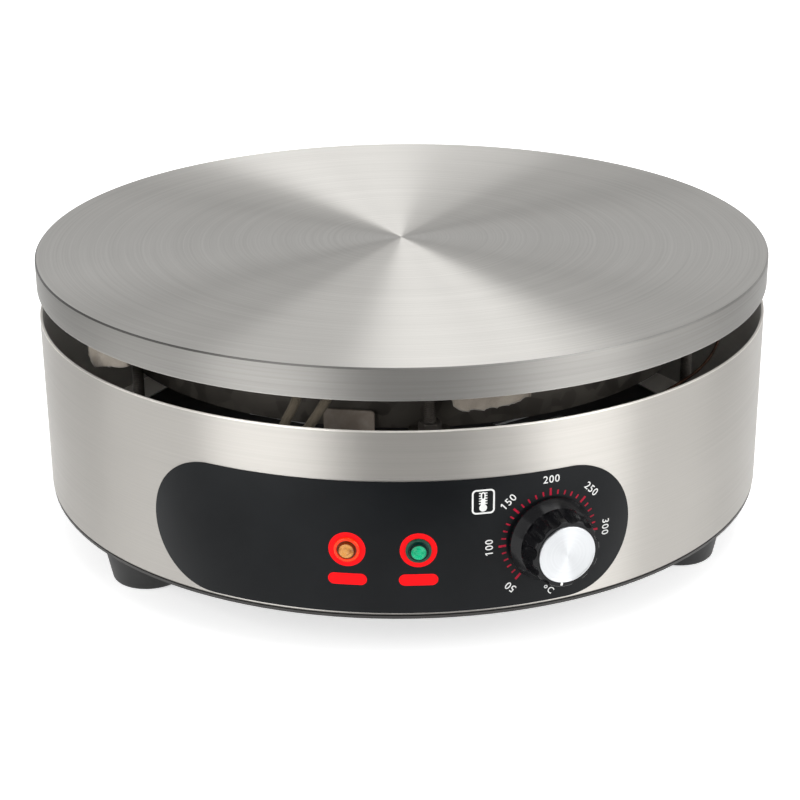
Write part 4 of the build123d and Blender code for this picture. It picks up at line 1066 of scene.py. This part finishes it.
def sleeve(name, route, radius):
    """A round lead along a smooth line through the route's control points, sizes in mm."""
    line = bpy.data.curves.new(name, "CURVE")
    line.dimensions = "3D"
    spline = line.splines.new("NURBS")
    spline.points.add(len(route) - 1)
    for point, (x, y, z) in zip(spline.points, route):
        point.co = (x * mm, y * mm, z * mm, 1)
    spline.order_u = 3
    spline.use_endpoint_u = True
    spline.resolution_u = 10
    line.bevel_depth = radius * mm
    line.bevel_resolution = 5
    line.use_fill_caps = True
    piece = bpy.data.objects.new(name, line)
    bpy.context.scene.collection.objects.link(piece)
    pick(piece)
    bpy.ops.object.convert(target="MESH")
    bpy.ops.object.shade_smooth_by_angle(angle=smooth_angle)
    return bpy.context.active_object


# Woven glass-fibre sleeve: dull tan, with a diamond weave about 1.2 mm across that runs round the lead.
woven_sleeve, tree, shader = new_material("woven glass-fibre sleeve", Roughness=0.85, Sheen_Weight=0.1)
place = add_node(tree, "TexCoord")
weave = []
for slant in ((520, 520, 520), (520, -520, 520)):
    run = add_node(tree, "VectorMath", {"operation": "MULTIPLY"}, {1: slant}, {0: place.outputs["Object"]})
    thread = add_node(
        tree, "TexWave", {"bands_direction": "DIAGONAL"}, {"Scale": 1.0, "Distortion": 1.0},
        {"Vector": run.outputs[0]},
    )
    weave.append(thread.outputs["Fac"])
cross = add_node(tree, "Math", {"operation": "MULTIPLY"}, (), {0: weave[0], 1: weave[1]})
cover(tree, shader, cross.outputs[0], "#544c3e", "#7c7262", relief=(cross.outputs[0], 0.5, 0.4))

leads = join("woven_heater_leads", [
    sleeve("switched lead", switched_route, sleeve_radius),
    sleeve("neutral lead", neutral_route, sleeve_radius),
])
coat(leads, woven_sleeve)
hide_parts("heater_leads")
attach(leads, "root")


# Inner leads. Silicone-covered wires join the terminal block, the lamps and the thermostat, and two
# short links in woven sleeves join the ends of the heating rings.

supply_route = (
    (46.2, -153.1, 57.8), (42.7, -144.8, 57.8), (22.2, -140.3, 64.0), (3.9, -155.0, 74.0),
    (-9.0, -153.4, 74.0),
)
lamp_routes = (
    ((-19.8, -174.8, 65.8), (-19.3, -169.9, 65.8), (-32.2, -165.9, 58.0), (-45.2, -157.6, 56.0),
     (-36.8, -149.9, 64.0), (-28.9, -150.9, 64.0)),
    ((-14.9, -175.3, 65.8), (-14.4, -170.4, 65.8), (-26.3, -165.9, 76.0), (-45.8, -159.6, 80.0),
     (-36.8, -149.9, 74.0), (-28.9, -150.9, 74.0)),
    ((10.4, -175.7, 65.8), (9.9, -169.7, 65.8), (8.3, -157.8, 56.0), (-1.1, -154.3, 54.0),
     (-9.0, -153.4, 54.0)),
    ((15.4, -175.3, 65.8), (14.8, -168.3, 65.8), (11.9, -151.5, 66.0), (-1.1, -154.3, 64.0),
     (-9.0, -153.4, 64.0)),
)
link_routes = (
    ((-17.5, -131.2, 128.2), (-10.3, -104.7, 126.2), (-3.0, -78.3, 128.2)),
    ((-46.2, -124.0, 128.2), (-40.1, -97.3, 126.2), (-34.1, -70.5, 128.2)),
)
heavy_wire_radius = 1.6
light_wire_radius = 0.9
silicone = moulding("red silicone lead", "#8a2a24", "#6f1f1b", 0.5)
for node, routes, radius, covering, slot in (
    ("supply_lead", (supply_route,), heavy_wire_radius, silicone, "lead_plastic"),
    ("lamp_leads", lamp_routes, light_wire_radius, silicone, "lead_plastic"),
    ("heater_links", link_routes, heavy_wire_radius, woven_sleeve, "lead_sleeve"),
):
    wires = join(node + "_covered", [sleeve(node + " wire", route, radius) for route in routes])
    coat(wires, covering)
    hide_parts(node)
    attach(wires, "root")


# Studio. A pale floor under white light, large soft boxes at each side, overhead and behind, and two grey
# cards that the camera doesn't see, which put dark bands into the metal.

floor_size = 60.0
floor_glow = 0.55
glow_centre = (0, 0.06, 0)
dark_under_base = {"From Min": 0.13, "From Max": 0.16, "To Min": 0.0, "To Max": floor_glow}
white = (1, 1, 1, 1)
world_strength = 0.5

bpy.ops.object.select_all(action="DESELECT")
bpy.ops.mesh.primitive_plane_add(size=floor_size)
floor = bpy.context.active_object
floor.name = "floor"

# White paper: it glows for rays from the camera, a mirror or clear plastic, but not under the base, where
# it would shine up through the vent slots.
white_floor = mottled("white paper floor", "#eeeeee", "#f4f4f4", 300, 3, Roughness=0.9, Emission_Color=white)
tree = white_floor.node_tree
place = add_node(tree, "TexCoord")
away = add_node(tree, "VectorMath", {"operation": "DISTANCE"}, {1: glow_centre}, {0: place.outputs["Object"]})
clear = add_node(tree, "MapRange", (), dark_under_base, {"Value": away.outputs["Value"]})
ray = add_node(tree, "LightPath")
seen = ray.outputs["Is Camera Ray"]
for kind in ("Is Glossy Ray", "Is Transmission Ray"):
    seen = add_node(tree, "Math", {"operation": "MAXIMUM"}, (), {0: seen, 1: ray.outputs[kind]}).outputs[0]
glow = add_node(tree, "Math", {"operation": "MULTIPLY"}, (), {0: seen, 1: clear.outputs["Result"]})
tree.links.new(glow.outputs[0], tree.nodes["Principled BSDF"].inputs["Emission Strength"])
coat(floor, white_floor)

world = bpy.data.worlds.new("white studio")
bpy.context.scene.world = world
world.use_nodes = True
sky = world.node_tree.nodes["Background"]
sky.inputs["Color"].default_value = white
sky.inputs["Strength"].default_value = world_strength


def soft_box(name, place, aim, width, height, power):
    """A large soft lamp that faces a point, sizes in metres and power in watts."""
    lamp = bpy.data.lights.new(name, "AREA")
    lamp.shape = "RECTANGLE"
    lamp.size = width
    lamp.size_y = height
    lamp.energy = power
    box = bpy.data.objects.new(name, lamp)
    bpy.context.scene.collection.objects.link(box)
    box.location = place
    box.rotation_euler = (Vector(aim) - Vector(place)).to_track_quat("-Z", "Y").to_euler()
    box.visible_camera = False


def card(name, azimuth_from, azimuth_to, near, far, colour):
    """A card that only metal sees, fanned between azimuths in degrees and (distance, level) pairs in mm."""
    start = math.radians(azimuth_from)
    sweep = math.radians(azimuth_from - azimuth_to)
    piece = draw_line(name, [
        (distance * math.sin(start), -distance * math.cos(start), level) for distance, level in (near, far)
    ])
    bpy.ops.mesh.select_all(action="SELECT")
    bpy.ops.mesh.spin(steps=16, angle=sweep, center=(0, 0, 0), axis=(0, 0, 1))
    bpy.ops.object.mode_set(mode="OBJECT")
    cloth = new_material(name + " cloth", Base_Color=linear(colour), Roughness=1.0, Specular_IOR_Level=0.0)
    coat(piece, cloth[0])
    piece.visible_camera = piece.visible_diffuse = piece.visible_shadow = False


middle = (0, 0, 0.1)
soft_box("left soft box", (-1.77, -2.24, 1.1), middle, 1.85, 2.4, 50)
soft_box("right soft box", (2.38, -1.66, 1.1), middle, 1.8, 2.4, 50)
soft_box("left fill", (-2.95, -0.5, 1.1), middle, 1.7, 2.4, 12)
soft_box("right fill", (2.98, 0.1, 1.1), middle, 1.5, 2.4, 10)
soft_box("top soft box", (0.25, -0.2, 2.45), (0.25, 0, 0.1), 1.1, 3.4, 27)
soft_box("high right soft box", (0.87, 0.39, 2.3), (0.08, -0.19, 0.07), 0.5, 0.5, 2.6)
soft_box("back soft box", (0, 3.2, 1.2), middle, 4.8, 2.4, 6)
soft_box("back left strip", (-2.1, 2.4, 1.1), middle, 0.7, 2.4, 2.5)
soft_box("back right strip", (2.25, 2.25, 1.1), middle, 0.6, 2.4, 2.2)
card("front card", -16, 23, (3200, 0), (3200, 3400), "#141414")
card("floor card", -9, 19, (400, 4), (3200, 4), "#8c8c8c")

camera_place = (0.03925, -1.04061, 0.48732)
camera_turn = 2.2407
camera_tilt = -22.236
camera_roll = -0.463
eye = bpy.data.cameras.new("camera")
eye.lens = 88.59
eye.sensor_width = 36.0
camera = bpy.data.objects.new("camera", eye)
bpy.context.scene.collection.objects.link(camera)
camera.matrix_world = (
    Matrix.Translation(camera_place)
    @ turned(camera_turn, "Z") @ turned(90 + camera_tilt, "X") @ turned(camera_roll, "Z")
)
bpy.context.scene.camera = camera
bpy.context.scene.view_settings.view_transform = "Standard"
